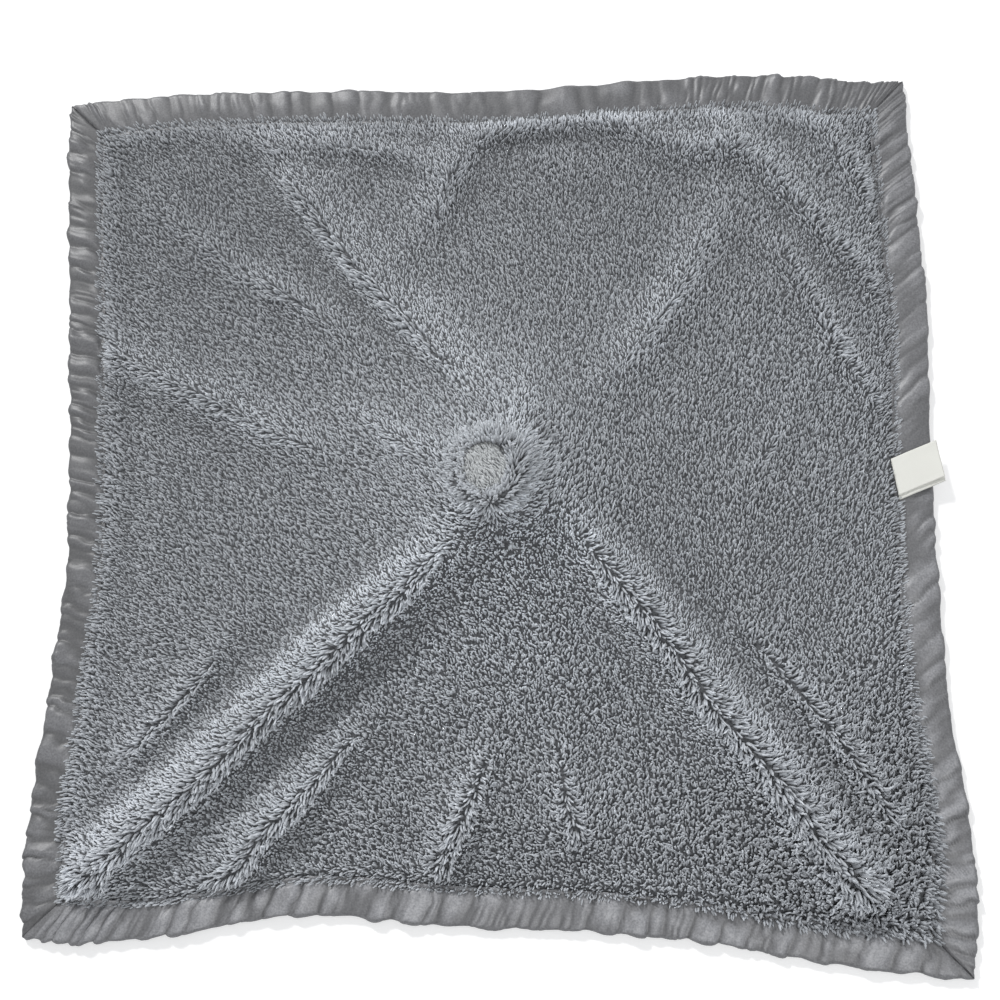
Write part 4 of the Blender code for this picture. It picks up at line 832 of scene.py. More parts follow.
def gatherHeight(along, across, strip, seed):
    # Soft ridges side by side with sharp creases between them, in a broad layer and a fine one: sin(pi f)^0.8,
    # where f runs from 0 to 1 over each gather. Each one leans its own way and dies out at its own distance from
    # the stitches (across 0) or from the outer fold (across 1); the creases wander. The strip is laid on rays from
    # the neck, so a gather square to the edge drifts back by 1 - 2 * share of the edge.
    side, width = blanket["side"], blanket["binding"]
    total = 0
    for count, high, wander, layer in ((strip["gathers"], 1.0, 1.6, 0), (strip["gathers"] * 2, 0.35, 1.0, 40)):
        rng = np.random.default_rng(seed + layer)
        spare = count // 3
        drift = (strip["shear"] + 1 - 2 * along / side) * width
        bend = wander * mm * latticeNoise(along, across * width, 7 * mm, seed + layer)
        place = along - drift * across + bend
        steps = rng.uniform(0.4, 1.6, count + 2 * spare)
        creases = (np.concatenate([[0], np.cumsum(steps)]) - spare) / count * side
        k = np.clip(np.searchsorted(creases, place) - 1, 0, len(steps) - 1)
        share = np.clip((place - creases[k]) / (creases[k + 1] - creases[k]), 0, 1)
        share = share ** rng.uniform(0.5, 1.9, len(steps))[k]
        start = np.where(rng.random(len(steps)) < 0.35, rng.uniform(0.2, 0.6, len(steps)), -1)[k]
        end = np.where(rng.random(len(steps)) < 0.4, rng.uniform(0.2, 0.8, len(steps)), 2)[k]
        fade = ease((across - start) / 0.5 + 0.5) * ease((end - across) / 0.5 + 0.5)
        fade *= 0.8 + 0.4 * latticeNoise(along, across * width, 9 * mm, seed + 20)
        height = high * strip["height"] * mm * (rng.uniform(0.45, 1.0, len(steps)) * np.sqrt(steps))[k]
        total = total + height * np.sin(np.pi * share) ** 0.8 * (0.15 + 0.85 * fade)
    return total


def satinSurface(edge, strip, seed):
    # The strip's outer skin as a grid: stations along the edge by points from the upper leaf's inner rim,
    # over the outer fold and back under the lower leaf. The inner skin lies one thickness inside it. The
    # gathers are low under the label. The satin's colour carries painted shade between the gathers, on their
    # flanks away from the lamp and at the stitches, painted light on the flanks towards it, and a painted
    # highlight that grows towards the bottom; each strip's painted light factor scales it all.
    ends = satin["mitreGap"] / blanket["side"]
    share = np.linspace(ends, 1 - ends, satin["stations"])
    hem = edgeCurve(edge, share)
    along = (share * blanket["side"])[:, None]
    upper = np.concatenate([np.linspace(satin["innerInset"], satin["stitchInset"], 3)[:-1],
                            np.linspace(satin["stitchInset"], satin["foldReach"], 14)])
    across = (satin["stitchInset"] - upper)[None, :] / satin["stitchInset"]
    pinch = 1 - 0.8 * np.exp(-((upper[None, :] - satin["stitchInset"]) / (1.1 * mm)) ** 2)
    fromEnd = np.minimum(along, blanket["side"] - along)
    calm = ease(fromEnd / (24 * mm)) * 0.85 + 0.15
    calm = calm * (1 - 0.6 * np.exp(-((along - strip["quiet"] * blanket["side"]) / (14 * mm)) ** 2))
    gathers = gatherHeight(along, np.clip(across, 0, 1.2), strip, seed) * calm
    puff = satin["puff"] * np.sin(np.pi * np.clip(across, 0, 1)) * (1 - np.exp(-(fromEnd / (2.5 * mm)) ** 2))
    top = satin["leafTop"] + (gathers + puff) * pinch
    rng = np.random.default_rng(seed + 7)
    wave = sum(rng.uniform(0.2, 1) * np.sin(2 * np.pi * along[:, 0] / size + rng.uniform(0, 6))
               for size in (61 * mm, 37 * mm, 23 * mm, 15 * mm)) / 2
    outset = satin["scallop"] * wave * ease(fromEnd[:, 0] / (12 * mm)) + 0.55 * gathers[:, -1] - 0.4 * mm
    half = top[:, -1:] / 2
    angle = np.linspace(90, -90, 7)[None, 1:-1] * np.pi / 180
    foldInset = satin["foldReach"] * (1 - np.cos(angle)) - outset[:, None] * np.cos(angle)
    foldHeight = half + half * np.sin(angle)
    lower = np.array([satin["foldReach"], satin["innerInset"]])
    insets = np.concatenate([np.broadcast_to(upper, top.shape), foldInset,
                             np.broadcast_to(lower, (len(share), len(lower)))], 1)
    heights = np.concatenate([top, foldHeight, np.zeros((len(share), len(lower)))], 1)
    wall = satin["thickness"]
    innerFold = foldInset + wall * np.cos(angle)
    innerInsets = np.concatenate([insets[:, :len(upper)], innerFold, insets[:, -len(lower):]], 1)
    innerHeights = np.concatenate([top - wall, half + (half - wall) * np.sin(angle),
                                   np.full((len(share), len(lower)), wall)], 1)
    insets = np.concatenate([insets, innerInsets[:, ::-1]], 1)
    heights = np.concatenate([heights, innerHeights[:, ::-1]], 1)
    places = planPoints(hem[:, None, :], insets)
    # gloss is the share of painted highlight, from none above the middle to full along the bottom; it brightens the
    # colour and strengthens the flanks' painted light and shade.
    gloss = ease((0.03 - hem[:, 1:]) / 0.2)
    flank = np.gradient(gathers, blanket["side"] / len(share), axis=0)
    shade = np.full(heights.shape, 0.85)
    shade[:, :len(upper)] = (blendOf(0.55, blendOf(1.0, 1.3, gloss), ease(gathers / (1.5 * mm)))
                             + blendOf(0.17, 0.50, gloss) * np.tanh(1.5 * flank)) * (1.2 * pinch).clip(0.5, 1)
    shade *= strip["paintedLight"]
    return np.concatenate([places, heights[..., None]], -1), shade


def makeSatin():
    made = []
    for edge, (name, strip) in enumerate(satin["strips"].items()):
        points, shade = satinSurface(edge, strip, satin["seed"] + edge)
        rows, columns = points.shape[:2]
        faces = gridFaces(rows, columns, closedColumns=True)
        half = columns // 2
        k = np.arange(half - 1)
        cap = np.stack([k, k + 1, columns - 2 - k, columns - 1 - k], -1)
        faces = [faces, cap[:, ::-1], cap + (rows - 1) * columns]
        node = name.replace("satin", "binding")
        made.append(newPiece(name, points, faces, greySatin, "blanket", [node], {"shade": shade}))
    return made


satinPieces = makeSatin()
print("satin binding is made")


# Threads: running stitches along both sides of the binding, and the four mitre seams

stitches = {"pitch": 3.1 * mm, "length": 2.3 * mm, "radius": 0.24 * mm, "dip": 0.22 * mm, "mitreSteps": 9}


def stitchRow(inset, height, up):
    # Short bars end to end along the outline at that inset; each one's ends dip into the cloth.
    share = np.arange(0.5, blanket["side"] / stitches["pitch"] - 0.5) * stitches["pitch"] / blanket["side"]
    spread = np.linspace(-0.5, 0.5, 5) * stitches["length"] / blanket["side"]
    lift = height + up * stitches["dip"] * (1 - (np.linspace(-1, 1, 5) ** 4) * 2)
    rows = []
    for edge in range(4):
        hem = edgeCurve(edge, (share[:, None] + spread).ravel())
        places = planPoints(hem, np.full(len(hem), inset)).reshape(len(share), 5, 2)
        rows.append(np.concatenate([places, np.broadcast_to(lift[:, None], places.shape[:2] + (1,))], -1))
    centre = np.concatenate(rows)
    radius = np.broadcast_to(stitches["radius"] * np.array([0.7, 1, 1, 1, 0.7]), centre.shape[:2])
    return bars(centre, radius, np.tile([0.0, 0.0, 1.0], (len(centre), 1)), 4)


def makeThreads():
    top = satin["leafTop"] + stitches["radius"] * 0.6
    points, faces = stitchRow(satin["stitchInset"], top, 1)
    made = [newPiece("stitches_back", points, faces, greyThread, "blanket", ["hem_stitching_back"])]
    points, faces = stitchRow(blanket["binding"] + 1.2 * mm, 0.28 * mm, 0)
    made.append(newPiece("stitches_front", points, faces, greyThread, "blanket",
                         ["hem_stitching_front"]))
    for edge, corner in enumerate(("top_left", "top_right", "bottom_right", "bottom_left")):
        hem = edgeCurve(edge, np.zeros(stitches["mitreSteps"]))
        inset = np.linspace(1.0 * mm, satin["stitchInset"] - 1.5 * mm, stitches["mitreSteps"])
        places = planPoints(hem, inset)
        sag = 0.25 * mm * np.sin(np.linspace(0, 3 * np.pi, stitches["mitreSteps"]))
        height = satin["leafTop"] + 0.05 * mm + np.zeros_like(inset)
        centre = np.concatenate([places + sag[:, None], height[:, None]], -1)[None]
        radius = np.full(centre.shape[:2], 0.32 * mm)
        points, faces = bars(centre, radius, np.array([[0.0, 0.0, 1.0]]), 8)
        made.append(newPiece("mitre_" + corner, points, faces, darkThread, "blanket",
                             ["mitre_seam_" + corner]))
    return made


threadPieces = makeThreads()
print("threads are made")


# The care label: two leaves of bare tape

def labelLeaf(shift, drop, seed):
    # A leaf as a grid from its root to its free end: it climbs over the gathers, curls up at its end and
    # waves a little; the same grid one thickness lower closes it.
    u, v = np.meshgrid(np.linspace(0, 1, 28), np.linspace(-0.5, 0.5, 22), indexing="ij")
    reach = u * label["length"]
    aside = shift + reach * label["skew"] + v * label["width"]
    places = labelSeam + reach[..., None] * labelOut + aside[..., None] * labelAside
    climb = ease(reach / (9 * mm))
    wave = 0.25 * mm * np.sin(5 * v + 3 * u + seed) * u + 0.5 * mm * (2 * np.abs(v)) ** 3 * u ** 2
    height = blendOf(label["root"], label["crest"], climb) + label["curl"] * u ** 3 + wave - drop
    top = np.concatenate([places, height[..., None]], -1)
    under = top - (0, 0, label["thickness"])
    return np.concatenate([top, under[:, ::-1]], 1)


def makeLabel():
    # Both leaves; the back one lies a little aside and lower.
    leaves = (("label_front_leaf", 0.0, 0.0), ("label_back_leaf", -label["backShift"], 0.75 * mm))
    for name, shift, drop in leaves:
        points = labelLeaf(shift, drop, shift * 900)
        rows, columns = points.shape[:2]
        k = np.arange(columns // 2 - 1)
        cap = np.stack([k, k + 1, columns - 2 - k, columns - 1 - k], -1)
        sides = gridFaces(rows, columns, closedColumns=True)[:, ::-1]
        faces = [sides, cap, (cap + (rows - 1) * columns)[:, ::-1]]
        newPiece(name, points, faces, labelTape, "label", ["care_" + name])


makeLabel()
print("label is made")


# The patch that closes the neck behind the head

patch = {"radius": 13.9 * mm, "level": 55.8 * mm, "dome": 1.2 * mm, "tilt": 0.02, "thickness": 0.6 * mm,
         "spacing": 0.95 * mm, "pileLength": 3.2 * mm, "pileRadius": 0.45 * mm, "seed": 71}


def patchHeight(x, y):
    # A low dome, rolled down at its rim and tilted down towards the lower left.
    share = np.hypot(x, y) / patch["radius"]
    rolled = patch["dome"] * (1 - share ** 2) - 0.2 * mm * share ** 8
    return patch["level"] + rolled + patch["tilt"] * (x + y) / 1.4


def makePatch():
    share, angle = np.meshgrid(np.linspace(0.02, 1, 18), circle(72), indexing="ij")
    x, y = share * patch["radius"] * np.cos(angle), share * patch["radius"] * np.sin(angle)
    top = np.stack([x, y, patchHeight(x, y)], -1)
    under = np.stack([x * 0.97, y * 0.97, patchHeight(x, y) - patch["thickness"]], -1)
    points = np.concatenate([top, under[::-1]])
    rows, columns = points.shape[:2]
    first = np.arange(columns)[None, ::-1]
    faces = [gridFaces(rows, columns, closedColumns=True)[:, ::-1], first[:, ::-1], first + (rows - 1) * columns]
    newPiece("patch_cloth", points, faces, liningCloth, "head", ["closing_patch"])
    rng = np.random.default_rng(patch["seed"])
    line = np.arange(-15, 16) * patch["spacing"]
    x, y = np.meshgrid(line, line * 0.9, indexing="ij")
    x = (x + rng.uniform(-0.45, 0.45, x.shape) * patch["spacing"]).ravel()
    y = (y + rng.uniform(-0.45, 0.45, y.shape) * patch["spacing"]).ravel()
    keep = np.hypot(x, y) < patch["radius"] - 0.3 * mm - 2.2 * mm * (abs(x) < 0.6 * y)
    x, y = x[keep], y[keep]
    turn = math.radians(118) + 0.4 * latticeNoise(x, y, 7 * mm, 72) + 0.15 * rng.standard_normal(len(x))
    nap = np.stack([np.cos(turn), np.sin(turn), np.zeros_like(turn)], -1)
    loose = rng.standard_normal((len(x), 3))
    rootWay = unit(np.array([0, 0, 0.8]) + nap + 0.1 * loose)
    out = np.stack([x, y, 0 * x], -1) / patch["radius"]
    spread = (ease(np.hypot(x, y) / (4 * mm) - 2.2) * ease(0.5 - (x + y) / (12 * mm)))[:, None]
    tipWay = unit(np.array([0, 0, 0.15]) + nap * (1 - 0.6 * spread) + 1.3 * out * spread + 0.12 * loose)
    length = patch["pileLength"] * (1 + 0.15 * rng.standard_normal(len(x))).clip(0.6, 1.4)
    root = np.stack([x, y, patchHeight(x, y) - 0.2 * mm], -1)
    tufts("patch_pile", root, (rootWay, tipWay), length, np.full(len(x), patch["pileRadius"]),
          unit(np.cross(tipWay, [0, 0, 1.0]) + 0.2 * loose), pile["shortShape"], patchPlush, "head",
          ["closing_patch"], 1 + 0.08 * rng.standard_normal(len(x)))


makePatch()
print("patch is made")


# The head, from below: its cover with short pile, the muzzle and the embroidered face

head = {
    "profile": ((14.0, 55.1), (14.0, 51.0), (14.3, 48.2), (16.4, 45.7), (21.4, 42.0), (27.3, 37.9), (32.8, 34.2),
                (37.0, 29.2), (39.0, 21.9), (37.8, 15.4), (33.5, 10.8), (25.7, 8.5), (14.0, 8.4), (0.4, 8.4)),
    "wall": 1.4 * mm, "widen": 0.03, "rows": 66, "columns": 132, "seamDent": 0.5 * mm, "seed": 81,
    "armSides": (-138.0, -36.0), "armReach": 17.0, "armDent": 1.6 * mm,
    "tufts": 3900, "length": 2.0 * mm, "radius": 0.70 * mm, "tuftTop": 33 * mm,
    "muzzle": ((0.3, 8.1), (8.0, 8.1), (12.0, 8.1), (14.2, 7.0), (15.0, 4.6), (14.2, 2.4), (11.6, 1.1), (7.0, 0.9),
               (0.3, 0.9)),
    "muzzleHeight": 0.86, "muzzleDrop": 3 * mm, "muzzleTufts": 420,
    "nose": (6.5 * mm, 4.5 * mm), "noseThread": 0.24 * mm, "eye": 2.6 * mm, "eyePlace": (14 * mm, 9 * mm),
    "faceLevel": 8.1 * mm, "eyeThread": 0.24 * mm,
}


def neatFaces(piece):
    # Turns a small closed piece's faces to look outwards.
    body = bmesh.new()
    body.from_mesh(piece.data)
    bmesh.ops.recalc_face_normals(body, faces=body.faces)
    body.to_mesh(piece.data)
    body.free()
    return piece


def loft(name, rings, finish, body, stands, closed=False):
    # Rings of points joined in order; the first and last are filled unless the rings close on themselves.
    rows, columns = rings.shape[:2]
    faces = [gridFaces(rows, columns, closedRows=closed, closedColumns=True)]
    if not closed:
        ends = np.array([np.arange(columns)[::-1], np.arange(columns) + (rows - 1) * columns])
        faces.append(ends)
    return neatFaces(newPiece(name, rings, faces, finish, body, stands))


def turnedRings(line, columns, widen, centre=(0.0, 0.0), high=1.0):
    # A profile of radius and height turned round an upright axis through centre.
    angle = np.linspace(0, 2 * np.pi, columns, endpoint=False)[None, :]
    radius = line[:, :1] * widen(line[:, :1], angle)
    return np.stack([radius * np.cos(angle) + centre[0], radius * np.sin(angle) * high + centre[1],
                     line[:, 1:] + 0 * angle], -1)


def byArm(angle):
    # How near a place round the head is to the side where an arm hangs, from 1 at its middle to 0.
    return sum(np.exp(-(np.degrees(np.angle(np.exp(1j * (angle - math.radians(side))))) / head["armReach"]) ** 2)
               for side in head["armSides"])


def headWiden(radius, angle):
    # A head is a little wider than it is high, and drawn in along its two side seams, the seam of its brow
    # and where the arms hang.
    share = ease((radius - 14 * mm) / (25 * mm))
    dent = sum(np.exp(-(np.angle(np.exp(1j * (angle - seam))) * 39 / 1.1) ** 2) for seam in (0.0, np.pi, np.pi / 2))
    dent = dent * head["seamDent"] + byArm(angle) * head["armDent"]
    return 1 + head["widen"] * share * np.cos(2 * angle) - dent * share / (39 * mm)


def turnedSpots(line, count):
    # Even places over a turned surface: along the profile by equal area, round it by the golden angle.
    step = np.hypot(*np.diff(line, axis=0).T)
    area = np.concatenate([[0], np.cumsum(step * (line[1:, 0] + line[:-1, 0]) / 2)])
    level = (np.arange(count) + 0.5) / count * area[-1]
    radius, height = (np.interp(level, area, line[:, axis]) for axis in (0, 1))
    slope = [np.interp(level, area, np.gradient(line[:, axis])) for axis in (0, 1)]
    return radius, height, np.arange(count) * 2.399963, unit(np.stack([-slope[1], slope[0]], -1))


def shortTufts(name, root, normal, nap, length, radius, finish, body, stands, seed, lie=0.8):
    # Short pile on any surface, leaning along its nap.
    rng = np.random.default_rng(seed)
    loose = rng.standard_normal((len(root), 3))
    nap = unit(nap - normal * (nap * normal).sum(-1, keepdims=True))
    first = unit(normal + 0.3 * nap + 0.12 * loose)
    second = unit(normal * (1 - 0.6 * lie) + nap * lie + 0.2 * loose)
    sizes = length * (1 + 0.15 * rng.standard_normal(len(root))).clip(0.6, 1.4)
    return tufts(name, root - first * 0.3 * mm, (first, second), sizes, np.full(len(root), radius),
                 unit(np.cross(second, normal) + 0.2 * loose), pile["shortShape"], finish, body, stands,
                 1 + 0.08 * rng.standard_normal(len(root)))


def makeHead():
    line = smoothLine(np.array(head["profile"]) * mm, head["rows"])
    inner = line - head["wall"] * unit(np.stack([-np.gradient(line[:, 1]), np.gradient(line[:, 0])], -1))
    inner[:, 0] = np.maximum(inner[:, 0], 0.4 * mm)
    inner[0] = (12.6 * mm, 55.1 * mm)
    rings = turnedRings(np.concatenate([line, inner[::-1]]), head["columns"], headWiden)
    cover = loft("head_skin", rings, plushCloth, "head", ["head_cover"], closed=True)
    radius, height, angle, slope = turnedSpots(line, int(head["tufts"] * 1.7))
    radius = radius * headWiden(radius, angle)
    x, y = radius * np.cos(angle), radius * np.sin(angle)
    eyes = np.minimum(*(np.hypot(x - side * head["eyePlace"][0], y - head["eyePlace"][1]) for side in (-1, 1)))
    onMuzzle = np.hypot(x, (y + head["muzzleDrop"]) / head["muzzleHeight"]) < 13.5 * mm
    keep = (height < head["tuftTop"]) & ((height > 9 * mm) | ~onMuzzle) & ((height > 9.5 * mm) | (eyes > 3.0 * mm))
    root = np.stack([x, y, height], -1)[keep]
    normal = np.stack([slope[:, 0] * np.cos(angle), slope[:, 0] * np.sin(angle), slope[:, 1]], -1)[keep]
    pressed = byArm(angle) * ease((height - 5 * mm) / (4 * mm)) * ease((26 * mm - height) / (4 * mm))
    length = head["length"] * (1 - 0.5 * ease(pressed / 0.6))[keep]
    fur = shortTufts("head_pile", root, normal, root * (1, 1, 0) + (0, -0.012, 0.004), length, head["radius"],
                     shortPlush, "head", ["head_cover"], head["seed"])
    return cover, fur


def makeMuzzle():
    line = smoothLine(np.array(head["muzzle"]) * mm, 40)
    rings = turnedRings(line, 72, lambda radius, angle: 1.0, (0.0, -head["muzzleDrop"]), head["muzzleHeight"])
    cleft = 0.4 * mm * np.exp(-(rings[..., 0] / (0.9 * mm)) ** 2) * (rings[..., 1] < -4.8 * mm) * (rings[..., 2] < 6 * mm)
    rings[..., 2] += cleft
    pad = loft("muzzle_pad", rings, plushCloth, "head", ["muzzle"])
    radius, height, angle, slope = turnedSpots(line, head["muzzleTufts"] * 3)
    keep = (height > 1.5 * mm) & (height < 7.6 * mm)
    x, y = radius * np.cos(angle), radius * np.sin(angle) * head["muzzleHeight"] - head["muzzleDrop"]
    root = np.stack([x, y, height], -1)[keep]
    normal = np.stack([slope[:, 0] * np.cos(angle), slope[:, 0] * np.sin(angle), slope[:, 1]], -1)[keep]
    fur = shortTufts("muzzle_pile", root, normal, root * (1, 1, 0) + (0, 0, 0.006), 1.5 * mm, 0.42 * mm, shortPlush,
                     "head", ["muzzle"], head["seed"] + 1)
    return pad, fur


def satinStitches(name, half, high, place, level, dome, thread, slant, node):
    # A patch of close threads side by side within an oval; each is a bar over the oval's width at its row.
    rows = np.arange(-high + thread, high - thread / 2, thread * 1.55)
    reach = half * np.sqrt(np.maximum(1 - (rows / high) ** 2, 0.02))
    share = np.linspace(-1, 1, 7)
    x = reach[:, None] * share
    y = rows[:, None] + 0 * x
    turned = np.stack([x * math.cos(slant) - y * math.sin(slant), x * math.sin(slant) + y * math.cos(slant)], -1)
    height = level - dome * (1 - (x / half) ** 2 - (y / high) ** 2) + 0 * x
    centre = np.concatenate([turned + place, height[..., None]], -1)
    radius = np.full(centre.shape[:2], thread) * np.array([0.6, 1, 1, 1, 1, 1, 0.6])
    points, faces = bars(centre, radius, np.tile([0.0, 0.0, 1.0], (len(rows), 1)), 8)
    return newPiece(name, points, faces, darkThread, "head", [node])


def makeFace():
    # The nose and the two eyes in satin stitch.
    satinStitches("nose_stitches", *head["nose"], (0.0, 0.0), 0.42 * mm, 0.12 * mm, head["noseThread"], 0.0,
                  "nose")
    for side, word in ((-1, "left"), (1, "right")):
        place = (side * head["eyePlace"][0], head["eyePlace"][1])
        satinStitches(f"eye_{word}_stitches", head["eye"], head["eye"], place, head["faceLevel"] - 0.1 * mm,
                      0.6 * mm, head["eyeThread"], side * 0.5, "eye_" + word)


# Ears and arms, where the CAD has them

ears = {
    "stations": ((0.0, 0.62), (0.15, 0.84), (0.4, 1.0), (0.65, 0.94), (0.85, 0.70), (0.96, 0.38), (1.0, 0.06)),
    "length": 26 * mm, "width": 28 * mm, "thickness": 6.6 * mm, "rootThickness": 2 * mm, "swellReach": 0.9,
    "lining": 0.6, "gap": 0.3 * mm, "tufts": 760, "seed": 91,
}
arms = {
    "stations": ((0.0, 0.55), (0.06, 0.68), (0.18, 0.84), (0.35, 0.90), (0.55, 0.90), (0.75, 1.0), (0.90, 0.90),
                 (0.97, 0.60), (1.0, 0.12)),
    "length": 68 * mm, "width": 21 * mm, "thickness": 16.5 * mm, "rootThickness": 3.4 * mm, "full": 0.35,
    "laid": 0.7, "paw": 0.8, "flat": 0.5 * mm, "angles": {"left": 41.0, "right": 45.0}, "tufts": 2300, "seed": 101,
}


def earLayer(word, kind, up, share, finish):
    side = -1 if word == "left" else 1
    outward = np.array([side * math.sin(math.radians(45)), math.cos(math.radians(45)), 0.0])
    across = np.cross([0.0, 0.0, 1.0], outward)
    seat = jointPlace(f"ear_{word}_fold") + (0, 0, ears["rootThickness"] / 2 * ears["lining"] + up * ears["gap"] / 2)
    line = smoothLine(ears["stations"], 26)
    rise = np.sin(np.pi * np.minimum(line[:, 0] / ears["swellReach"], 1))
    height = (blendOf(ears["rootThickness"], ears["thickness"], rise) - ears["gap"]) / 2 * share
    angle = np.linspace(0, np.pi, 15)
    rows = seat + outward * (line[:, :1] * ears["length"])
    rings = (rows[:, None] + across * (np.cos(angle)[None, :, None] * (line[:, 1] * ears["width"] / 2)[:, None, None])
             + np.array([0, 0, up]) * (np.sin(angle)[None, :, None] * height[:, None, None]))
    if kind == "lining":
        rings[..., 2] += 0.18 * mm * np.sin(rings[..., 0] / (1.3 * mm)) * np.sin(angle)[None, :] * rise[:, None]
    stands = [f"ear_{word}_{kind}"]
    piece = loft(f"ear_{word}_{kind}_cloth", rings, finish, "ear_" + word, stands)
    if kind == "lining":
        return [piece]
    rng = np.random.default_rng(ears["seed"] + side)
    k = np.arange(ears["tufts"])
    t, a = 0.05 + 0.92 * k / len(k), np.pi * ((k * 0.618034 + rng.uniform(-0.02, 0.02, len(k))) % 1)
    width, high = (np.interp(t, line[:, 0], v) for v in (line[:, 1] * ears["width"] / 2, height))
    root = (seat + outward * (t * ears["length"])[:, None] + across * (np.cos(a) * width)[:, None]
            + np.array([0, 0, up]) * (np.sin(a) * high)[:, None])
    normal = unit(across * np.cos(a)[:, None] * 0.5 + np.array([0, 0, up]) * (np.sin(a) + 0.15)[:, None])
    nap = outward + across * (0.8 * np.cos(a))[:, None]
    return [piece, shortTufts(f"ear_{word}_pile", root, normal, nap, 1.9 * mm, 0.6 * mm, shortPlush, "ear_" + word,
                              stands, ears["seed"] + 5 + side)]


def armSections(word):
    # Middle, half width and half height of the arm along its length: it hangs from its root in a curve, and
    # its outer part lies on the floor.
    side = -1 if word == "left" else 1
    angle = math.radians(-90 + side * arms["angles"][word])
    outward = np.array([math.cos(angle), math.sin(angle), 0.0])
    line = smoothLine(arms["stations"], 44)
    along = np.clip(line[:, 0], 0, 1)
    root = jointPlace(f"arm_{word}_swing")
    middle = root * (1, 1, 0) + outward * (along * arms["length"])[:, None]
    end = arms["thickness"] / 2 - arms["flat"]
    middle[:, 2] = blendOf(end, root[2], np.maximum(1 - along / arms["laid"], 0) ** 2)
    intoPaw = np.maximum(along - arms["paw"], 0) / (1 - arms["paw"])
    high = blendOf(arms["rootThickness"], arms["thickness"], ease(along / arms["full"])) / 2
    return outward, along, middle, line[:, 1] * arms["width"] / 2, high * np.sqrt(np.maximum(1 - intoPaw ** 2, 0.01))


def makeArm(word):
    outward, along, middle, wide, high = armSections(word)
    across = np.cross([0.0, 0.0, 1.0], outward)
    angle = np.linspace(0, 2 * np.pi, 28, endpoint=False)
    rings = middle[:, None] + across * (np.cos(angle)[None, :, None] * wide[:, None, None])
    rings[..., 2] = np.maximum(rings[..., 2] + np.sin(angle) * high[:, None], 0.1 * mm)
    stands = [f"arm_{word}_cover"]
    skin = loft(f"arm_{word}_skin", rings, plushCloth, "arm_" + word, stands)
    rng = np.random.default_rng(arms["seed"] + len(word))
    k = np.arange(arms["tufts"])
    t, a = 0.04 + 0.945 * k / len(k), k * 2.399963 + rng.uniform(-0.1, 0.1, len(k))
    a = a % (2 * np.pi)
    centre = np.stack([np.interp(t, along, middle[:, k]) for k in range(3)], -1)
    w, h = np.interp(t, along, wide), np.interp(t, along, high)
    root = centre + across * (np.cos(a) * w)[:, None] + np.array([0, 0, 1.0]) * (np.sin(a) * h)[:, None]
    normal = unit(across * (np.cos(a) / w)[:, None] + np.array([0, 0, 1.0]) * (np.sin(a) / h)[:, None])
    keep = (root[:, 2] > 1.9 * mm) & ((t > 0.3) | (np.sin(a) > -0.1))
    return skin, shortTufts(f"arm_{word}_pile", root[keep], normal[keep], np.tile(outward, (keep.sum(), 1)), 1.9 * mm,
                            0.62 * mm, shortPlush, "arm_" + word, stands, arms["seed"] + 9)


makeHead()
makeMuzzle()
makeFace()
for word in ("left", "right"):
    earLayer(word, "back", 1, 1.0, plushCloth)
    earLayer(word, "lining", -1, ears["lining"], earSatin)
    makeArm(word)

# What stays from the CAD gets its cloth or thread
for node, finish in (("head_filling", whiteFibre), ("arm_left_filling", whiteFibre),
                     ("arm_right_filling", whiteFibre), ("shoulder_tab_left", liningCloth),
                     ("shoulder_tab_right", liningCloth), ("neck_seam", greyThread),
                     ("closing_seam", greyThread), ("mouth_stitch", darkThread)):
    for place in frame["nodes"][node].material_slots:
        place.material = finish
print("head, ears and arms are made")


# Camera, floor and light

view = {"place": (0.0432, -0.1859, 0.7516), "turn": (13.8, 3.0, 0.3), "lens": 57.09, "sensor": 36.0}
studio = {
    "key": ((-1.9, 3.1, 2.8), 0.5, 122.0),
    "top": ((0.6, -0.7, 2.2), 0.4, 15.0),
    "sky": (0.40, 0.406, 0.415), "floorColour": (0.86, 0.86, 0.86), "floorSize": 8.0,
}


def makeCamera():
    data = bpy.data.cameras.new("camera")
    data.lens, data.sensor_width = view["lens"], view["sensor"]
    data.clip_start, data.clip_end = 0.01, 50
    camera = bpy.data.objects.new("camera", data)
    rx, ry, rz = (math.radians(v) for v in view["turn"])
    turn = (Euler((0, 0, rz)).to_matrix() @ Euler((0, ry, 0)).to_matrix() @ Euler((rx, 0, 0)).to_matrix())
    camera.location = view["place"]
    camera.rotation_euler = turn.to_euler()
    world.collection.objects.link(camera)
    world.camera = camera


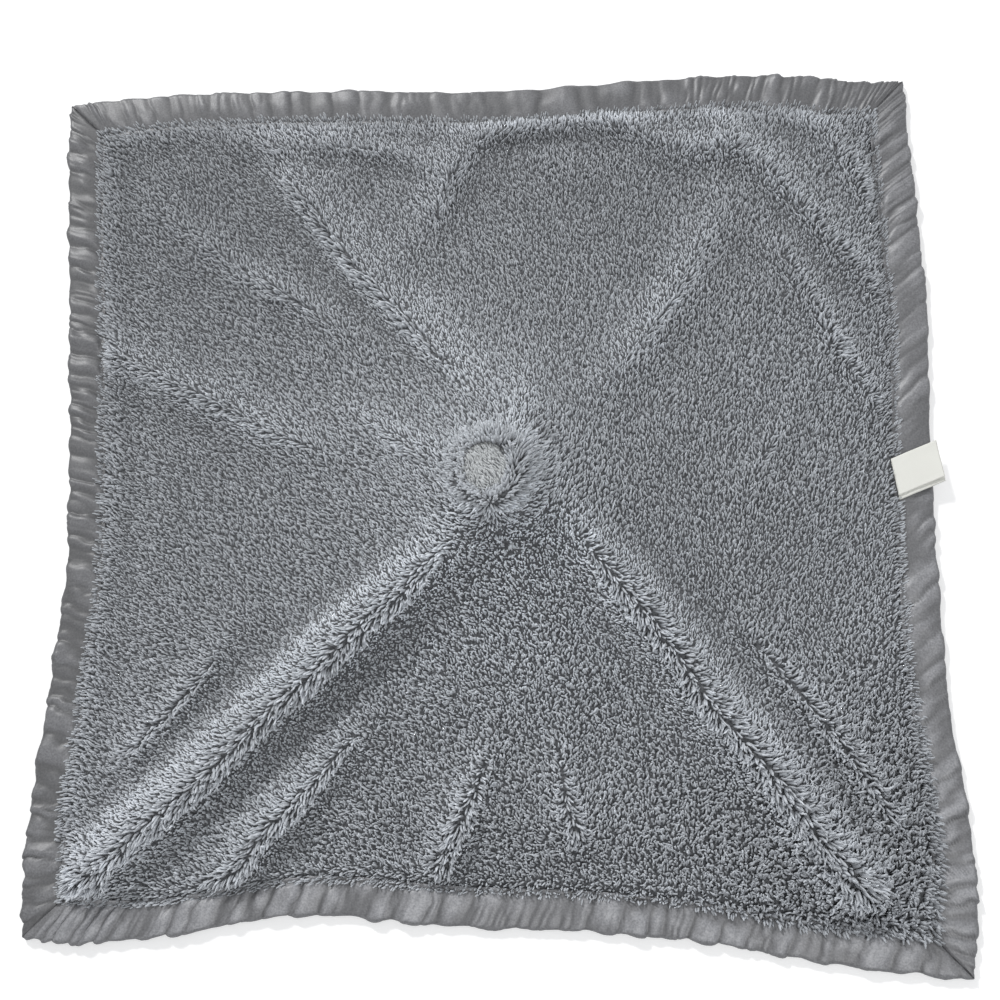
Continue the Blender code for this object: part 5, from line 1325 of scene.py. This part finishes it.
def makeLamp(name, place, size, power):
    data = bpy.data.lights.new(name, "AREA")
    data.shape, data.size, data.energy = "SQUARE", size, power
    lamp = bpy.data.objects.new(name, data)
    lamp.location = place
    lamp.rotation_euler = (-lamp.location).to_track_quat("-Z", "Y").to_euler()
    world.collection.objects.link(lamp)


def makeStudio():
    makeLamp("key", *studio["key"])
    makeLamp("top", *studio["top"])
    sky = bpy.data.worlds.new("sky")
    sky.use_nodes = True
    world.world = sky
    nodes, links = sky.node_tree.nodes, sky.node_tree.links
    path = nodes.new("ShaderNodeLightPath")
    seen = path.outputs["Is Camera Ray"]
    for other in ("Is Glossy Ray", "Is Transmission Ray"):
        either = nodes.new("ShaderNodeMath")
        either.operation = "MAXIMUM"
        links.new(seen, either.inputs[0])
        links.new(path.outputs[other], either.inputs[1])
        seen = either.outputs["Value"]
    ramp = addRamp(nodes, links, seen, ((0.0, studio["sky"]), (1.0, (1.0, 1.0, 1.0))))
    links.new(ramp.outputs["Color"], nodes["Background"].inputs["Color"])
    half = studio["floorSize"] / 2
    mesh = bpy.data.meshes.new("floor")
    corners = [(-half, -half, 0), (half, -half, 0), (half, half, 0), (-half, half, 0)]
    mesh.from_pydata(corners, [], [(0, 1, 2, 3)])
    floor = bpy.data.objects.new("floor", mesh)
    floor.location.z = -0.2 * mm
    world.collection.objects.link(floor)
    material = bpy.data.materials.new("floor_white")
    material.use_nodes = True
    nodes, links = material.node_tree.nodes, material.node_tree.links
    shader = nodes["Principled BSDF"]
    shader.inputs["Base Color"].default_value = (*studio["floorColour"], 1)
    shader.inputs["Roughness"].default_value = 0.9
    shader.inputs["Emission Color"].default_value = (1, 1, 1, 1)
    path = nodes.new("ShaderNodeLightPath")
    glow = nodes.new("ShaderNodeMapRange")
    glow.inputs["To Max"].default_value = 0.3
    links.new(path.outputs["Is Camera Ray"], glow.inputs["Value"])
    links.new(glow.outputs["Result"], shader.inputs["Emission Strength"])
    mesh.materials.append(material)
    world.view_settings.view_transform = "Standard"


makeCamera()
makeStudio()
print("camera and studio are ready")
